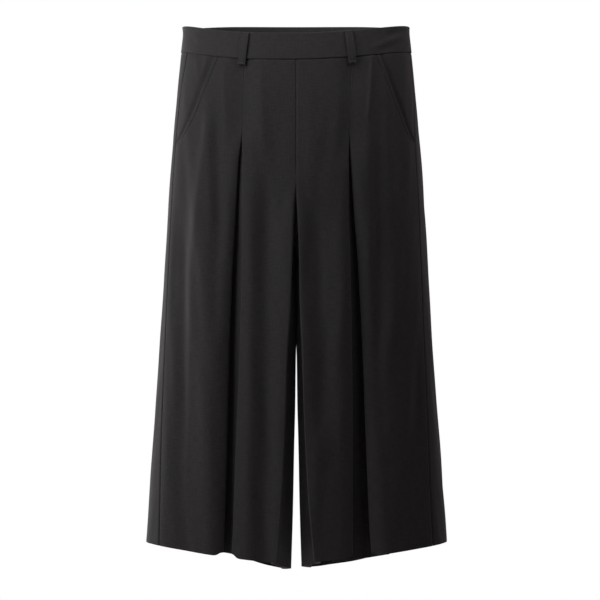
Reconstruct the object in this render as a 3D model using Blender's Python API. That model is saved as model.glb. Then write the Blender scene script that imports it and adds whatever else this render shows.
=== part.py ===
"""Wide cropped culottes with one inverted pleat a leg, empty and filled out as if worn.

Sizes are in millimetres and become metres when a mesh is made. The origin is the middle
of the waist, level with the band's upper edge at the sides. -Y is the front, +Z is up, and
left and right are as the front is looked at. A level is a height below that origin before
the waist's dip and the hem's drop are added. A reach is the distance out from the centre
line, so one set of functions serves both halves.
"""

import math
from collections import namedtuple

import bmesh
import bpy

MM = 0.001

# Cloth
CLOTH = 1.5
BAND_CLOTH = 2.4
LOOP_CLOTH = 1.6
SEAM_GAP = 0.3

# Waistband and belt loops
BAND_DEPTH = 35.0
BAND_DIP_FRONT = 12.8
BAND_RISE_BACK = 6.0
DIP_FADES_AT = -200.0
LOOP_WIDTH = 11.3
LOOP_FOOT = 9.5
LOOP_BOW = 1.2

# Crotch and inside leg
CROTCH_LEVEL = -290.0
CROTCH_DEPTH = -8.0
FRONT_CURVE_TOP = -217.0
BACK_CURVE_TOP = -175.0
INNER_TURN = 6.0
INNER_STRIP = 14.0
CREST_SHARE = 0.45
CREST_LEAST = 4.0

# Pleats
PLEAT_DEPTH = 25.0
PLEAT_ROLL = 3.0
PLEAT_ROLL_WIDTH = 8.0
STITCH_END = -144.0

# Slant pockets
POCKET_END = -157.0
BEARER_UNDERLAP = 14.0
BEARER_EASE = 12.0
BEARER_SET_BACK = 2.8
BEARER_LEAST = 2.5

# Hem
HEM_LEVEL = -684.0
HEM_DROP_FRONT = 23.0
HEM_DROP_BACK = 40.0
DROP_STARTS_AT = -430.0

SECTION_POWER = 2.25
CURVE_STEPS = 90

# The garment's outline at each level: half its width, and how far it stands out in front
# of and behind the widest line.
Body = namedtuple("Body", "level half_width front back")
BODY = (
    Body(0, 149.0, 92, 98),
    Body(-35, 153.0, 98, 104),
    Body(-100, 159.3, 106, 115),
    Body(-165, 165.0, 110, 121),
    Body(-230, 169.6, 112, 122),
    Body(-297, 173.6, 112, 119),
    Body(-430, 182.0, 111, 112),
    Body(-563, 191.5, 109, 108),
    Body(-684, 200.0, 107, 106),
)

# How far each side seam lies in front of the widest line, as seen from the front.
Seam = namedtuple("Seam", "level left right")
SIDE_SEAMS = (
    Seam(0, 9.5, 3.5),
    Seam(-35, 9.0, 3.0),
    Seam(-90, 5.3, 3.2),
    Seam(-165, 4.6, 7.6),
    Seam(-230, 5.0, 8.4),
    Seam(-363, 6.5, 11.0),
    Seam(-480, 9.4, 14.0),
    Seam(-550, 12.0, 16.2),
    Seam(-616, 15.3, 18.4),
    Seam(-684, 19.0, 19.4),
)

# The inside of each leg: the crests where its front and back turn in, and the inseam.
Inside = namedtuple("Inside", "level left_crest right_crest back_crest inseam")
INSIDE_LEG = (
    Inside(-175, 1.0, 1.0, 1.0, 0.15),
    Inside(-217, 1.4, 1.2, 2.2, 0.15),
    Inside(-262, 4.0, 2.9, 3.6, 0.15),
    Inside(-297, 5.2, 4.0, 4.6, 0.15),
    Inside(-363, 6.9, 4.8, 6.0, 0.3),
    Inside(-430, 8.4, 6.4, 8.0, 0.9),
    Inside(-496, 10.6, 8.6, 10.5, 1.8),
    Inside(-541, 13.2, 12.0, 13.0, 2.8),
    Inside(-605, 17.0, 16.0, 16.0, 4.3),
    Inside(-684, 23.0, 23.5, 20.0, 6.9),
)

# The two folded edges of each pleat, and the distance from one layer to the next.
Pleat = namedtuple("Pleat", "level left_inner left_outer right_inner right_outer layer")
PLEATS = (
    Pleat(-35, 69.7, 70.0, 73.6, 73.9, 1.9),
    Pleat(-144, 71.8, 72.1, 70.7, 71.0, 1.9),
    Pleat(-180, 70.8, 76.2, 69.2, 72.4, 2.3),
    Pleat(-245, 71.0, 80.6, 69.6, 77.0, 2.9),
    Pleat(-323, 71.7, 84.6, 71.0, 81.6, 3.5),
    Pleat(-430, 74.5, 88.5, 72.3, 86.5, 4.3),
    Pleat(-560, 79.3, 91.0, 72.8, 90.5, 5.2),
    Pleat(-640, 82.2, 93.6, 72.8, 93.2, 5.8),
    Pleat(-684, 84.2, 94.8, 72.8, 95.8, 6.2),
)

# The slanted pocket edge of each front, from the band to the side seam.
Pocket = namedtuple("Pocket", "level left right")
POCKETS = (
    Pocket(-35, 108.0, 113.2),
    Pocket(-60, 117.0, 121.5),
    Pocket(-86, 126.5, 131.0),
    Pocket(-124, 140.5, 145.0),
    Pocket(-145, 151.0, 152.5),
    Pocket(-157, 160.0, 160.0),
)

# Soft lengthwise folds: a ridge has a height above nought, a trough below it.
Fold = namedtuple("Fold", "top_level top_reach foot_level foot_reach width height")
FRONT_FOLDS = {
    "left": (
        Fold(-150, 120, -760, 122, 14, 3.4),
        Fold(-60, 103, -430, 106, 9, -2.4),
        Fold(-190, 60, -760, 64, 9, 2.0),
        Fold(-200, 45, -760, 48, 11, -3.0),
        Fold(-420, 150, -760, 152, 15, -2.6),
    ),
    "right": (
        Fold(-140, 127, -760, 130, 14, 3.2),
        Fold(-50, 99, -620, 108, 9, -3.0),
        Fold(-190, 50, -760, 50, 12, 2.6),
        Fold(-210, 22, -640, 34, 9, -2.2),
        Fold(-400, 158, -760, 160, 14, -2.4),
    ),
}
BACK_FOLDS = {
    "left": (
        Fold(-230, 40, -760, 52, 15, 4.2),
        Fold(-210, 76, -760, 88, 15, -4.6),
        Fold(-250, 116, -760, 126, 16, 4.4),
        Fold(-330, 156, -760, 163, 15, -3.4),
    ),
    "right": (
        Fold(-260, 34, -760, 44, 14, 3.6),
        Fold(-230, 66, -760, 76, 14, -4.0),
        Fold(-215, 104, -760, 112, 17, 4.8),
        Fold(-300, 146, -760, 152, 15, -4.0),
    ),
}
FOLD_FADE = 110.0

# Levels of the rows of faces
PANEL_LEVELS = (
    -60, -86, -120, -144, -157, -180, -217, -240, -262, -278, -286, -290,
    -320, -370, -430, -500, -570, -640, -684,
)
BEARER_LEVELS = PANEL_LEVELS[:6]

# Belt loops: the half they lie on, their reach at the band's top and at their own foot.
Loop = namedtuple("Loop", "name side face top_reach foot_reach")
LOOPS = (
    Loop("belt_loop_front_left", "left", "front", 66.2, 70.2),
    Loop("belt_loop_front_right", "right", "front", 68.2, 73.6),
    Loop("belt_loop_back_left", "left", "back", 84.0, 88.0),
    Loop("belt_loop_back_right", "right", "back", 84.0, 88.0),
    Loop("belt_loop_back_middle", "right", "back", 0.0, 0.0),
)

CLOTH_COLOUR = (0.0125, 0.0120, 0.0118, 1.0)
CLOTH_ROUGHNESS = 0.82
SIGN = {"left": -1.0, "right": 1.0}


def ease(start, end, value):
    """Nought before start, one after end, and a smooth rise between them."""
    t = min(max((value - start) / (end - start), 0.0), 1.0)
    return t * t * (3.0 - 2.0 * t)


def slope(table, column, index):
    """The slope of a column at a row, nought where the column turns."""
    if index in (0, len(table) - 1):
        near = table[1] if index == 0 else table[-2]
        here = table[index]
        run = near.level - here.level
        return (getattr(near, column) - getattr(here, column)) / run
    above, here, below = table[index - 1], table[index], table[index + 1]
    first = (getattr(here, column) - getattr(above, column)) / (here.level - above.level)
    second = (getattr(below, column) - getattr(here, column)) / (below.level - here.level)
    if first * second <= 0.0:
        return 0.0
    return 2.0 * first * second / (first + second)


def read(table, column, level):
    """The value of a table's column at a level, on a smooth curve through its rows."""
    if level >= table[0].level:
        return getattr(table[0], column)
    for index in range(len(table) - 1):
        above, below = table[index], table[index + 1]
        if level >= below.level:
            break
    else:
        return getattr(table[-1], column)
    span = below.level - above.level
    t = (level - above.level) / span
    start, end = getattr(above, column), getattr(below, column)
    rise_start = slope(table, column, index) * span
    rise_end = slope(table, column, index + 1) * span
    square, cube = t * t, t * t * t
    return (
        (2 * cube - 3 * square + 1) * start
        + (cube - 2 * square + t) * rise_start
        + (3 * square - 2 * cube) * end
        + (cube - square) * rise_end
    )


def outline(level, turn):
    """A point of the outline: turn is 0 at centre front, 90 at the side, 180 at the back."""
    sine, cosine = math.sin(turn), math.cos(turn)
    depth = read(BODY, "front" if cosine > 0.0 else "back", level)
    power = 2.0 / SECTION_POWER
    reach = read(BODY, "half_width", level) * abs(sine) ** power
    return reach, -math.copysign(depth * abs(cosine) ** power, cosine)


def seam_turn(side, level):
    """Where the side seam lies round the outline."""
    share = 1.0 - read(SIDE_SEAMS, side, level) / read(BODY, "half_width", level)
    return math.asin(share ** (SECTION_POWER / 2.0))


def relief(folds, level, reach):
    """How far the soft folds push the cloth out at a level and a reach."""
    total = 0.0
    for fold in folds:
        along = (level - fold.top_level) / (fold.foot_level - fold.top_level)
        if not 0.0 < along < 1.0:
            continue
        middle = fold.top_reach + (fold.foot_reach - fold.top_reach) * along
        fade = ease(0.0, FOLD_FADE, fold.top_level - level)
        fade *= ease(0.0, FOLD_FADE / 2.0, level - fold.foot_level)
        total += fold.height * fade * math.exp(-(((reach - middle) / fold.width) ** 2))
    return total


def pleat_roll(side, level, reach):
    """How far the two folded edges of a pleat roll back, once its stitching has ended."""
    opened = ease(0.0, FOLD_FADE, STITCH_END - level)
    total = 0.0
    for edge in ("inner", "outer"):
        off = (reach - read(PLEATS, side + "_" + edge, level)) / PLEAT_ROLL_WIDTH
        total -= PLEAT_ROLL * opened * math.exp(-off * off)
    return total


class Section:
    """The outer line of one half's front or back at a level, from the centre to its seam."""

    def __init__(self, side, face, level):
        self.side, self.face, self.level = side, face, level
        first = 0.0 if face == "front" else math.pi
        last = seam_turn(side, level)
        turns = [first + (last - first) * k / CURVE_STEPS for k in range(CURVE_STEPS + 1)]
        self.points = [outline(level, turn) for turn in turns]
        self.lengths = [0.0]
        for here, there in zip(self.points, self.points[1:]):
            self.lengths.append(self.lengths[-1] + math.dist(here, there))
        self.length = self.lengths[-1]

    def locate(self, distance):
        """The point and the outward direction at a distance from the centre."""
        index = 0
        while index < CURVE_STEPS - 1 and self.lengths[index + 1] < distance:
            index += 1
        run = self.lengths[index + 1] - self.lengths[index]
        share = (distance - self.lengths[index]) / run
        here, there = self.points[index], self.points[index + 1]
        point = [a + (b - a) * share for a, b in zip(here, there)]
        before = self.points[index - 1] if index else (-there[0], there[1])
        after = self.points[min(index + 2, CURVE_STEPS)]
        way = (after[0] - before[0], after[1] - before[1])
        size = math.hypot(*way)
        outward = (way[1] / size, -way[0] / size)
        if self.face == "back":
            outward = (-outward[0], -outward[1])
        return point, outward

    def distance(self, reach):
        """The distance from the centre, along the line, at which a reach is passed."""
        for index in range(CURVE_STEPS):
            low, high = self.points[index][0], self.points[index + 1][0]
            if high >= reach:
                share = (reach - low) / (high - low)
                run = self.lengths[index + 1] - self.lengths[index]
                return self.lengths[index] + run * share
        return self.length

    def place(self, distance, depth=0.0, thickness=CLOTH):
        """The middle of the cloth at a distance, sunk to a depth behind the outer line."""
        point, outward = self.locate(distance)
        folds = FRONT_FOLDS if self.face == "front" else BACK_FOLDS
        out = relief(folds[self.side], self.level, point[0]) - thickness / 2.0 - depth
        if self.face == "front":
            out += pleat_roll(self.side, self.level, point[0])
        return point[0] + outward[0] * out, point[1] + outward[1] * out


def steps(start, end, count):
    """Count values from start to end, leaving out the start."""
    return [start + (end - start) * k / count for k in range(1, count + 1)]


def evenly(points, count):
    """Count + 1 points at even distances along a line of points."""
    lengths = [0.0]
    for here, there in zip(points, points[1:]):
        lengths.append(lengths[-1] + math.dist(here, there))
    found, index = [], 0
    for k in range(count + 1):
        target = lengths[-1] * k / count
        while index < len(points) - 2 and lengths[index + 1] < target:
            index += 1
        run = max(lengths[index + 1] - lengths[index], 1e-9)
        share = (target - lengths[index]) / run
        here, there = points[index], points[index + 1]
        found.append(tuple(a + (b - a) * share for a, b in zip(here, there)))
    return found


def rounded(start, corner, end, count):
    """Count + 1 points from start to end, rounding the corner between them."""
    points = []
    for k in range(count + 1):
        t = k / count
        parts = zip(start, corner, end)
        points.append(tuple((1 - t) ** 2 * a + 2 * t * (1 - t) * b + t * t * c for a, b, c in parts))
    return points


def crotch_share(section):
    """How far the inner edge has swept from the centre seam to the inseam."""
    top = FRONT_CURVE_TOP if section.face == "front" else BACK_CURVE_TOP
    fallen = min(max((top - section.level) / (top - CROTCH_LEVEL), 0.0), 1.0)
    return 1.0 - math.sqrt(1.0 - fallen * fallen)


def inner_strip(section):
    """The cloth from its inner edge, round the crest of the leg, to the open panel."""
    front = section.face == "front"
    below = section.level < (FRONT_CURVE_TOP if front else BACK_CURVE_TOP)
    column = section.side + "_crest" if front else "back_crest"
    crest = read(INSIDE_LEG, column, section.level) if below else SEAM_GAP / 2.0
    start = section.distance(crest)
    corner = section.place(start)
    gap = -SEAM_GAP / 2.0 if front else SEAM_GAP / 2.0
    inner_y = corner[1] + (CROTCH_DEPTH + gap - corner[1]) * crotch_share(section)
    inner_x = read(INSIDE_LEG, "inseam", section.level) + CLOTH / 2.0 if below else corner[0]
    length = math.dist((inner_x, inner_y), corner)
    radius = min(INNER_TURN, CREST_SHARE * length)
    if radius > 0.0:
        share = radius / length
        inner = (inner_x, inner_y)
        turn_in = tuple(c + (i - c) * share for i, c in zip(inner, corner))
        turn_out = section.place(start + radius)
        bend = rounded(turn_in, corner, turn_out, 8)
        points = evenly([inner, turn_in], 3)
    else:
        points = [section.place(start + CREST_LEAST * k / 7.0) for k in range(4)]
        bend = [points[-1]]
    reached = max(radius, CREST_LEAST)
    bend += [section.place(start + v) for v in steps(radius, reached, 2) if reached > radius]
    points += evenly(bend, 4)[1:]
    points += [section.place(start + v) for v in steps(reached, INNER_STRIP, 2)]
    return points, start + INNER_STRIP


def turned(middle, depth, radius, start, stop, count, way):
    """Points round a fold, as distance and depth, through angles in degrees."""
    points = []
    for k in range(count + 1):
        angle = math.radians(start + (stop - start) * k / count)
        spot = (middle + way * radius * math.cos(angle), depth + radius * math.sin(angle))
        points.append(spot)
    return points


def pleat_line(section):
    """Distance and depth of each point of the pleat, edge to edge through its three layers."""
    level, side = section.level, section.side
    layer = read(PLEATS, "layer", level)
    radius = layer / 2.0
    inner = section.distance(read(PLEATS, side + "_inner", level)) - CLOTH / 2.0
    outer = section.distance(read(PLEATS, side + "_outer", level)) + CLOTH / 2.0
    far_in, far_out = inner - PLEAT_DEPTH, outer + PLEAT_DEPTH
    line = turned(inner - radius, radius, radius, -90, 90, 4, 1)
    line += [(v, layer) for v in steps(inner - radius, far_in + radius, 3)[:-1]]
    line += turned(far_in + radius, 3 * radius, radius, -90, 90, 3, -1)
    line += [(v, 2 * layer) for v in steps(far_in + radius, far_out - radius, 6)[:-1]]
    line += turned(far_out - radius, 3 * radius, radius, 90, -90, 3, 1)
    line += [(v, layer) for v in steps(far_out - radius, outer + radius, 3)[:-1]]
    line += turned(outer + radius, radius, radius, 90, -90, 4, -1)
    return line


def front_line(side, level):
    """One row of a front panel: inner edge, crest, pleat, then pocket edge or side seam."""
    section = Section(side, "front", level)
    points, reached = inner_strip(section)
    pleat = pleat_line(section)
    points += [section.place(v) for v in steps(reached, pleat[0][0], 5)[:-1]]
    points += [section.place(*spot) for spot in pleat]
    end = section.length - SEAM_GAP / 2.0
    if level > POCKET_END:
        end = min(end, section.distance(read(POCKETS, side, level)))
    points += [section.place(v) for v in steps(pleat[-1][0], end, 7)]
    return points


def back_line(side, level):
    """One row of a back panel, from its inner edge to the side seam."""
    section = Section(side, "back", level)
    points, reached = inner_strip(section)
    end = section.length - SEAM_GAP / 2.0
    return points + [section.place(v) for v in steps(reached, end, 15)]


def bearer_line(side, level):
    """One row of a pocket bearer, which starts behind the front and ends at the side seam."""
    section = Section(side, "front", level)
    edge = section.length
    if level > POCKET_END:
        edge = section.distance(read(POCKETS, side, level))
    end = section.length - SEAM_GAP / 2.0
    bend = min(edge, end - BEARER_LEAST)
    under = [edge - BEARER_UNDERLAP] + steps(edge - BEARER_UNDERLAP, bend, 3)
    points = []
    for distance in under + steps(bend, end, 5):
        eased = 1.0 - min(max((distance - edge) / BEARER_EASE, 0.0), 1.0)
        points.append(section.place(distance, BEARER_SET_BACK * eased))
    return points


def lift(side, reach, y, level):
    """How far a point rises or falls from its level: the waist's dip and the hem's drop."""
    behind = ease(-90.0, 90.0, y)
    waist = min(abs(reach) / BODY[0].half_width, 1.0)
    dip = -BAND_DIP_FRONT * (1.0 - waist ** (3.0 if side == "left" else 1.7))
    rise = BAND_RISE_BACK * (1.0 - waist ** 2)
    at_waist = ease(DIP_FADES_AT, -BAND_DEPTH, level)
    foot = min(abs(reach) / BODY[-1].half_width, 1.0)
    shape = 1.0 - foot ** (1.4 if side == "left" or y > 0.0 else 1.15)
    drop = HEM_DROP_FRONT + (HEM_DROP_BACK - HEM_DROP_FRONT) * behind
    at_hem = ease(DROP_STARTS_AT, HEM_LEVEL, level) if level < DROP_STARTS_AT else 0.0
    return at_waist * (dip * (1.0 - behind) + rise * behind) - at_hem * drop * shape


def stand(side, line, level):
    """A row's points in the round."""
    return [(SIGN[side] * reach, y, level + lift(side, reach, y, level)) for reach, y in line]


def cloth_material(name, shade=1.0):
    """A matt, nearly black suiting."""
    material = bpy.data.materials.new(name)
    material.use_nodes = True
    shader = material.node_tree.nodes["Principled BSDF"]
    colour = [channel * shade for channel in CLOTH_COLOUR[:3]] + [1.0]
    shader.inputs["Base Color"].default_value = colour
    shader.inputs["Roughness"].default_value = CLOTH_ROUGHNESS
    shader.inputs["Metallic"].default_value = 0.0
    material.diffuse_color = colour
    return material


def across(row, index):
    """The level direction through the cloth at a point of a row, long enough for a mitre."""
    here = row[index]
    ways = []
    for a, b in ((index - 1, index), (index, index + 1)):
        if 0 <= a and b < len(row):
            dx, dy = row[b][0] - row[a][0], row[b][1] - row[a][1]
            size = math.hypot(dx, dy)
            if size > 1e-6:
                ways.append((dy / size, -dx / size))
    x, y = sum(way[0] for way in ways), sum(way[1] for way in ways)
    size = math.hypot(x, y)
    x, y = x / size, y / size
    fit = x * ways[0][0] + y * ways[0][1]
    return x / fit, y / fit, here


def wall(name, rows, thickness, shade=1.0):
    """A closed wall of even thickness about rows of points."""
    mesh = bmesh.new()
    sides = []
    for offset in (thickness / 2.0, -thickness / 2.0):
        grid = []
        for row in rows:
            line = []
            for index in range(len(row)):
                x, y, here = across(row, index)
                spot = (here[0] + x * offset, here[1] + y * offset, here[2])
                line.append(mesh.verts.new([value * MM for value in spot]))
            grid.append(line)
        sides.append(grid)
    outer, inner = sides
    last_row, last_column = len(rows) - 1, len(rows[0]) - 1
    for r in range(last_row):
        for c in range(last_column):
            mesh.faces.new((outer[r][c], outer[r][c + 1], outer[r + 1][c + 1], outer[r + 1][c]))
            mesh.faces.new((inner[r][c], inner[r + 1][c], inner[r + 1][c + 1], inner[r][c + 1]))
        for c in (0, last_column):
            mesh.faces.new((outer[r][c], outer[r + 1][c], inner[r + 1][c], inner[r][c]))
    for c in range(last_column):
        for r in (0, last_row):
            mesh.faces.new((outer[r][c], inner[r][c], inner[r][c + 1], outer[r][c + 1]))
    bmesh.ops.recalc_face_normals(mesh, faces=mesh.faces)
    data = bpy.data.meshes.new(name)
    mesh.to_mesh(data)
    mesh.free()
    data.shade_smooth()
    data.set_sharp_from_angle(angle=math.radians(50))
    data.materials.append(cloth_material(name, shade))
    piece = bpy.data.objects.new(name, data)
    bpy.context.scene.collection.objects.link(piece)
    return piece


def make_panels():
    """The two fronts, the two backs and the two pocket bearers."""
    top = -BAND_DEPTH - SEAM_GAP
    for side in SIGN:
        for name, line in (("front_", front_line), ("back_", back_line)):
            rows = [stand(side, line(side, level), level) for level in (top,) + PANEL_LEVELS]
            wall(name + side, rows, CLOTH)
        rows = [stand(side, bearer_line(side, level), level) for level in (top,) + BEARER_LEVELS]
        wall("pocket_bearer_" + side, rows, CLOTH)


def band_half(side, face, level, count):
    """Half a row of the waistband, from the centre out to the side seam."""
    section = Section(side, face, level)
    end = section.length - SEAM_GAP / 2.0
    line = [section.place(v, thickness=CLOTH) for v in [0.0] + steps(0.0, end, count)]
    return stand(side, line, level)


def make_waistband():
    """The band: a front and a back strip, joined at the side seams."""
    levels = [-BAND_DEPTH * k / 3.0 for k in range(4)]
    for face in ("front", "back"):
        rows = []
        for level in levels:
            left = band_half("left", face, level, 14)
            right = band_half("right", face, level, 14)
            rows.append(left[:0:-1] + right)
        wall("waistband_" + face, rows, BAND_CLOTH)


def make_belt_loops():
    """Five flat loops, sewn at the band's top and just below it."""
    foot = -BAND_DEPTH - LOOP_FOOT
    levels = [foot * k / 6.0 for k in range(7)]
    lie = (BAND_CLOTH - CLOTH) / 2.0 + SEAM_GAP + LOOP_CLOTH / 2.0
    for loop in LOOPS:
        rows = []
        for level in levels:
            share = level / foot
            section = Section(loop.side, loop.face, level)
            middle = section.distance(loop.top_reach + (loop.foot_reach - loop.top_reach) * share)
            bow = LOOP_BOW * math.sin(math.pi * share)
            line = []
            for k in range(-2, 3):
                distance = middle + LOOP_WIDTH / 4.0 * k
                reach, y = section.place(abs(distance), -lie - bow, 0.0)
                line.append((math.copysign(reach, distance), y))
            rows.append(stand(loop.side, line, level))
        wall(loop.name, rows, LOOP_CLOTH)


def main():
    for item in list(bpy.data.objects):
        bpy.data.objects.remove(item)
    make_panels()
    make_waistband()
    make_belt_loops()


main()
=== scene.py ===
"""Looks of wide pleated culottes: fine cloth shells, creases, seams, stitching and finish.

Lengths in the tables are in millimetres and become metres when a mesh is made. The origin
is the middle of the waist, level with the band's upper edge at the sides. -Y is the front,
+Z is up, and left and right are as the front is looked at. A level is a height below that
origin before the waist's dip and the hem's drop are added. A reach is the distance out
from the centre line, so one set of functions serves both halves.
"""

import bisect
import math
from collections import namedtuple

import bpy
import numpy as np
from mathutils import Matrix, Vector


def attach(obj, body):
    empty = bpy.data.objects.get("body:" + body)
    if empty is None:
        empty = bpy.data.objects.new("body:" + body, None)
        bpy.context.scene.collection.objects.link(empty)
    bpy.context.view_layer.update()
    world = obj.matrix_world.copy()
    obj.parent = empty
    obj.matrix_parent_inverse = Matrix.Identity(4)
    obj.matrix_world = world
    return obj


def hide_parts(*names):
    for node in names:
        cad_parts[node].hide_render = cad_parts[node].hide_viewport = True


bl_info = {
    "name": "Pleated culottes",
    "version": (1, 0, 0),
    "blender": (4, 5, 0),
    "location": "3D View > Sidebar > Culottes",
    "description": "Sews the visible cloth of a pair of pleated culottes over its frame",
    "category": "Object",
}

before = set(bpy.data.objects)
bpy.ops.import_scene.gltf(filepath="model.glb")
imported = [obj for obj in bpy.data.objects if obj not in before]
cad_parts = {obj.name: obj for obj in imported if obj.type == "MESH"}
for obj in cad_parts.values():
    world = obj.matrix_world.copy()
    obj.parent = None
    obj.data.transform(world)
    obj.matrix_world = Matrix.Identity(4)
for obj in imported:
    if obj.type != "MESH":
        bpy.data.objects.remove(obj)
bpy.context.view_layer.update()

MM = 0.001
SIGN = {"left": -1.0, "right": 1.0}

# Thickness of the cloth, and how round the rims of a shell are
CLOTH = 0.9
BAND_CLOTH = 2.2
LOOP_CLOTH = 1.5
RIM_ROUNDNESS = 0.96
SHARP_ANGLE = 62

# Waistband: its depth, and how far it dips in front, rises behind, stands out and leans
BAND_DEPTH = 35.0
BAND_DIP_FRONT = 12.8
BAND_DIP_POWER = {"left": 3.0, "right": 1.7}
BAND_RISE_BACK = 6.0
BAND_RISE_POWER = 4
BAND_TURN = 90.0
DIP_FADES_AT = -200.0
BAND_PROUD = 0.45
BAND_LEAN = 3.4
LEAN_STARTS_AT = -15.0
LEAN_FADE = 60.0
BAND_TOP_RIM = 1.4
BAND_FOOT_RIM = 0.8
BAND_TOP_ROWS = (0.0, -0.25, -0.6, -1.1, -1.8, -2.8)
BAND_MIDDLE = 29.4
BAND_MIDDLE_ROWS = 14
BAND_FOOT_ROWS = (-33.4, -34.2, -34.7, -BAND_DEPTH)

# Belt loops: the foot below the band, the bow, and the pressed lines of the stitches
LOOP_WIDTH = 10.7
LOOP_FOOT = 8.4
LOOP_BOW = 1.2
LOOP_BOW_ENDS = 0.86
LOOP_BOW_POWER = 0.8
LOOP_GAP = 0.3
LOOP_RIM = 0.8
LOOP_BAR = 3.6
LOOP_BAR_DIP = 0.6
LOOP_BAR_WIDTH = 0.7
LOOP_INSET = 1.6
LOOP_INSET_DIP = 0.45
LOOP_INSET_WIDTH = 0.5

# Crotch and inside leg
CROTCH_LEVEL = -290.0
CROTCH_DEPTH = -8.0
FRONT_CURVE_TOP = -203.0
BACK_CURVE_TOP = -175.0
INNER_TURN = 1.2
INNER_STRIP = 14.0
CREST_SHARE = 0.45
LEGS_PRESS = 0.1

# Seams: how deep and wide the cloth is drawn in, and how far a panel goes up into the band
SEAM_STRIP = 1.6
SEAM_CALM = 18.0
SEAM_DIP = 1.35
SEAM_WIDTH = 1.0
CENTRE_DIP = 0.9
CENTRE_WIDTH = 1.1
CENTRE_FADE = 16.0
BAND_SEAM_DIP = 0.9
BAND_SEAM_WIDTH = 1.3
SEAM_TUCK = 3.0

# Pleats
PLEAT_DEPTH = 25.0
NARROWEST_PLEAT = 0.1
FOLD_RADIUS = 0.8
STITCH_END = -144.0
PLEAT_HANGS = {"left": 0.0, "right": 1.1}
CORNER_LIFT = 5.0
CORNER_WIDTH = 5.0
CORNER_TOP = -640.0

# Slant pockets: the edge, its stitched line, and the bearer that lies behind it
POCKET_END = -157.0
POCKET_FADE = (-6.0, 4.0)
POCKET_DIP = 0.85
POCKET_DIP_WIDTH = 0.8
POCKET_RIM = 0.7
POCKET_ROUNDING = 1.2
BEARER_UNDERLAP = 14.0
BEARER_SLIP = 0.5
BEARER_EASE = 10.0
BEARER_SET_BACK = {"left": 1.9, "right": 3.2}
BEARER_FREE = (4.0, 30.0)

# Hem: its drop from front to back and on the inside of the legs, and its turned-up edge
HEM_LEVEL = -684.0
HEM_DROP_FRONT = 23.0
HEM_POWER = {"left": 1.4, "right": 1.15}
HEM_FRONT = -110.0
HEM_SPAN = 200.0
HEM_SPAN_POWER = 0.8
HEM_DROP_INSIDE = {"left": 2.0, "right": -1.0}
HEM_INSIDE_REACH = (36.0, 8.0)
HEM_INSIDE_DEPTH = (-104.0, -50.0)
HEM_TURN_UP = 32.0
HEM_STEP = 0.8
HEM_STEP_EDGE = 1.6
HEM_RIM = 0.7
DROP_STARTS_AT = -430.0

# Folds, creases and waves: how each fades at its ends, and how steep a pressed edge is
FOLD_FADE = 110.0
CREASE_OVERRUN = 0.1
CREASE_FADE = 0.3
CREASE_STEEPNESS = 1.4
WAVES_FADE = (-30.0, -120.0)
WAVE_TURN_FRONT = 1.7
WAVE_TURN_LEFT = 2.9

# Roundness of the body's sections, and the steps that each is worked out in
SECTION_POWER = 2.25
CURVE_STEPS = 120
STRIP_STEPS = 40
CREST_STEPS = 16
OPEN_STEPS = 12

# Rows of points below the band, down to each level by a gap, and above the hem
SEAM_ROWS = (0.0, 0.4, 0.9, 1.6, 2.5)
ROW_GAPS = ((-165.0, 2.6), (-300.0, 3.6), (HEM_LEVEL + 4.0, 5.0))
HEM_ROWS = (2.6, 1.5, 0.8, 0.3, 0.0)

# Columns of points in each stretch of cloth, closer towards a seam by a power
INSEAM_COLUMNS = 16
CREST_COLUMNS = 11
PAST_CREST_COLUMNS = 6
BEFORE_PLEAT_COLUMNS = 26
AFTER_PLEAT_COLUMNS = 60
BACK_COLUMNS = 72
BEARER_HIDDEN_COLUMNS = 8
BEARER_COLUMNS = 30
BAND_COLUMNS = 64
FOLD_COLUMNS = 12
LAYER_COLUMNS = 6
DEEP_LAYER_COLUMNS = 16
LOOP_GRID = (60, 24)
INSEAM_POWER = 2.0
FRONT_POWER = 1.35
BACK_POWER = 1.25

# The column of each panel that lies along its lengthwise threads
FRONT_GRAIN = 95
BACK_GRAIN = 70

# Cloth: the yarns, fibres and patches in repeats a metre, the weave's depth and the nap
WARP_SCALE = (680.0, 90.0, 1.0)
WEFT_SCALE = (90.0, 620.0, 1.0)
FIBRE_SCALE = 900.0
CLOUD_SCALE = 22.0
TWIST_SCALE = 3000.0
WEAVE_DEPTH = 0.00012
NAP_ROUGHNESS = 0.42
NAP_TINT = (1.0, 0.97, 0.98, 1.0)
BAND_PRESS = 0.05

# How much each part of the weave adds to the surface's height, its tone and its roughness
Part = namedtuple("Part", "height tone rough")
RIB = Part(0.34, 0.05, 0.03)
YARN = Part(0.2, 0.0, 0.0)
THREADS = Part(0.8, 0.9, 0.0)
FIBRE = Part(0.5, 0.5, 0.0)
CLOUD = Part(0.0, 0.3, 0.08)
TONE_DROP = 0.8
ROUGH_DROP = 0.04

# The darkest and lightest tones of the cloth and the thread, as shares of their colours
CLOTH_TONES = (0.5, 1.62)
THREAD_TONES = (0.7, 1.6)
THREAD_ROUGHNESS = 0.6
THREAD_SHEEN = 0.2

# Lines of stitches: how far they stand from a seam, and from the surface
STITCH_START = 1.5
STITCH_STOP = 0.5
PLEAT_STITCH_INSET = 0.6
POCKET_STITCH_STEPS = 60
PLEAT_STITCH_STEPS = 40
LOOP_STITCH_STEPS = 40
LOOP_BAR_ROW = -4
STITCH_PROUD = 0.05
POCKET_STITCH_SUNK = 0.5
LOOP_STITCH_SUNK = 0.25
STITCH_UNEVEN = (0.9, 1.1)
STITCH_SEED = 7

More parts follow.
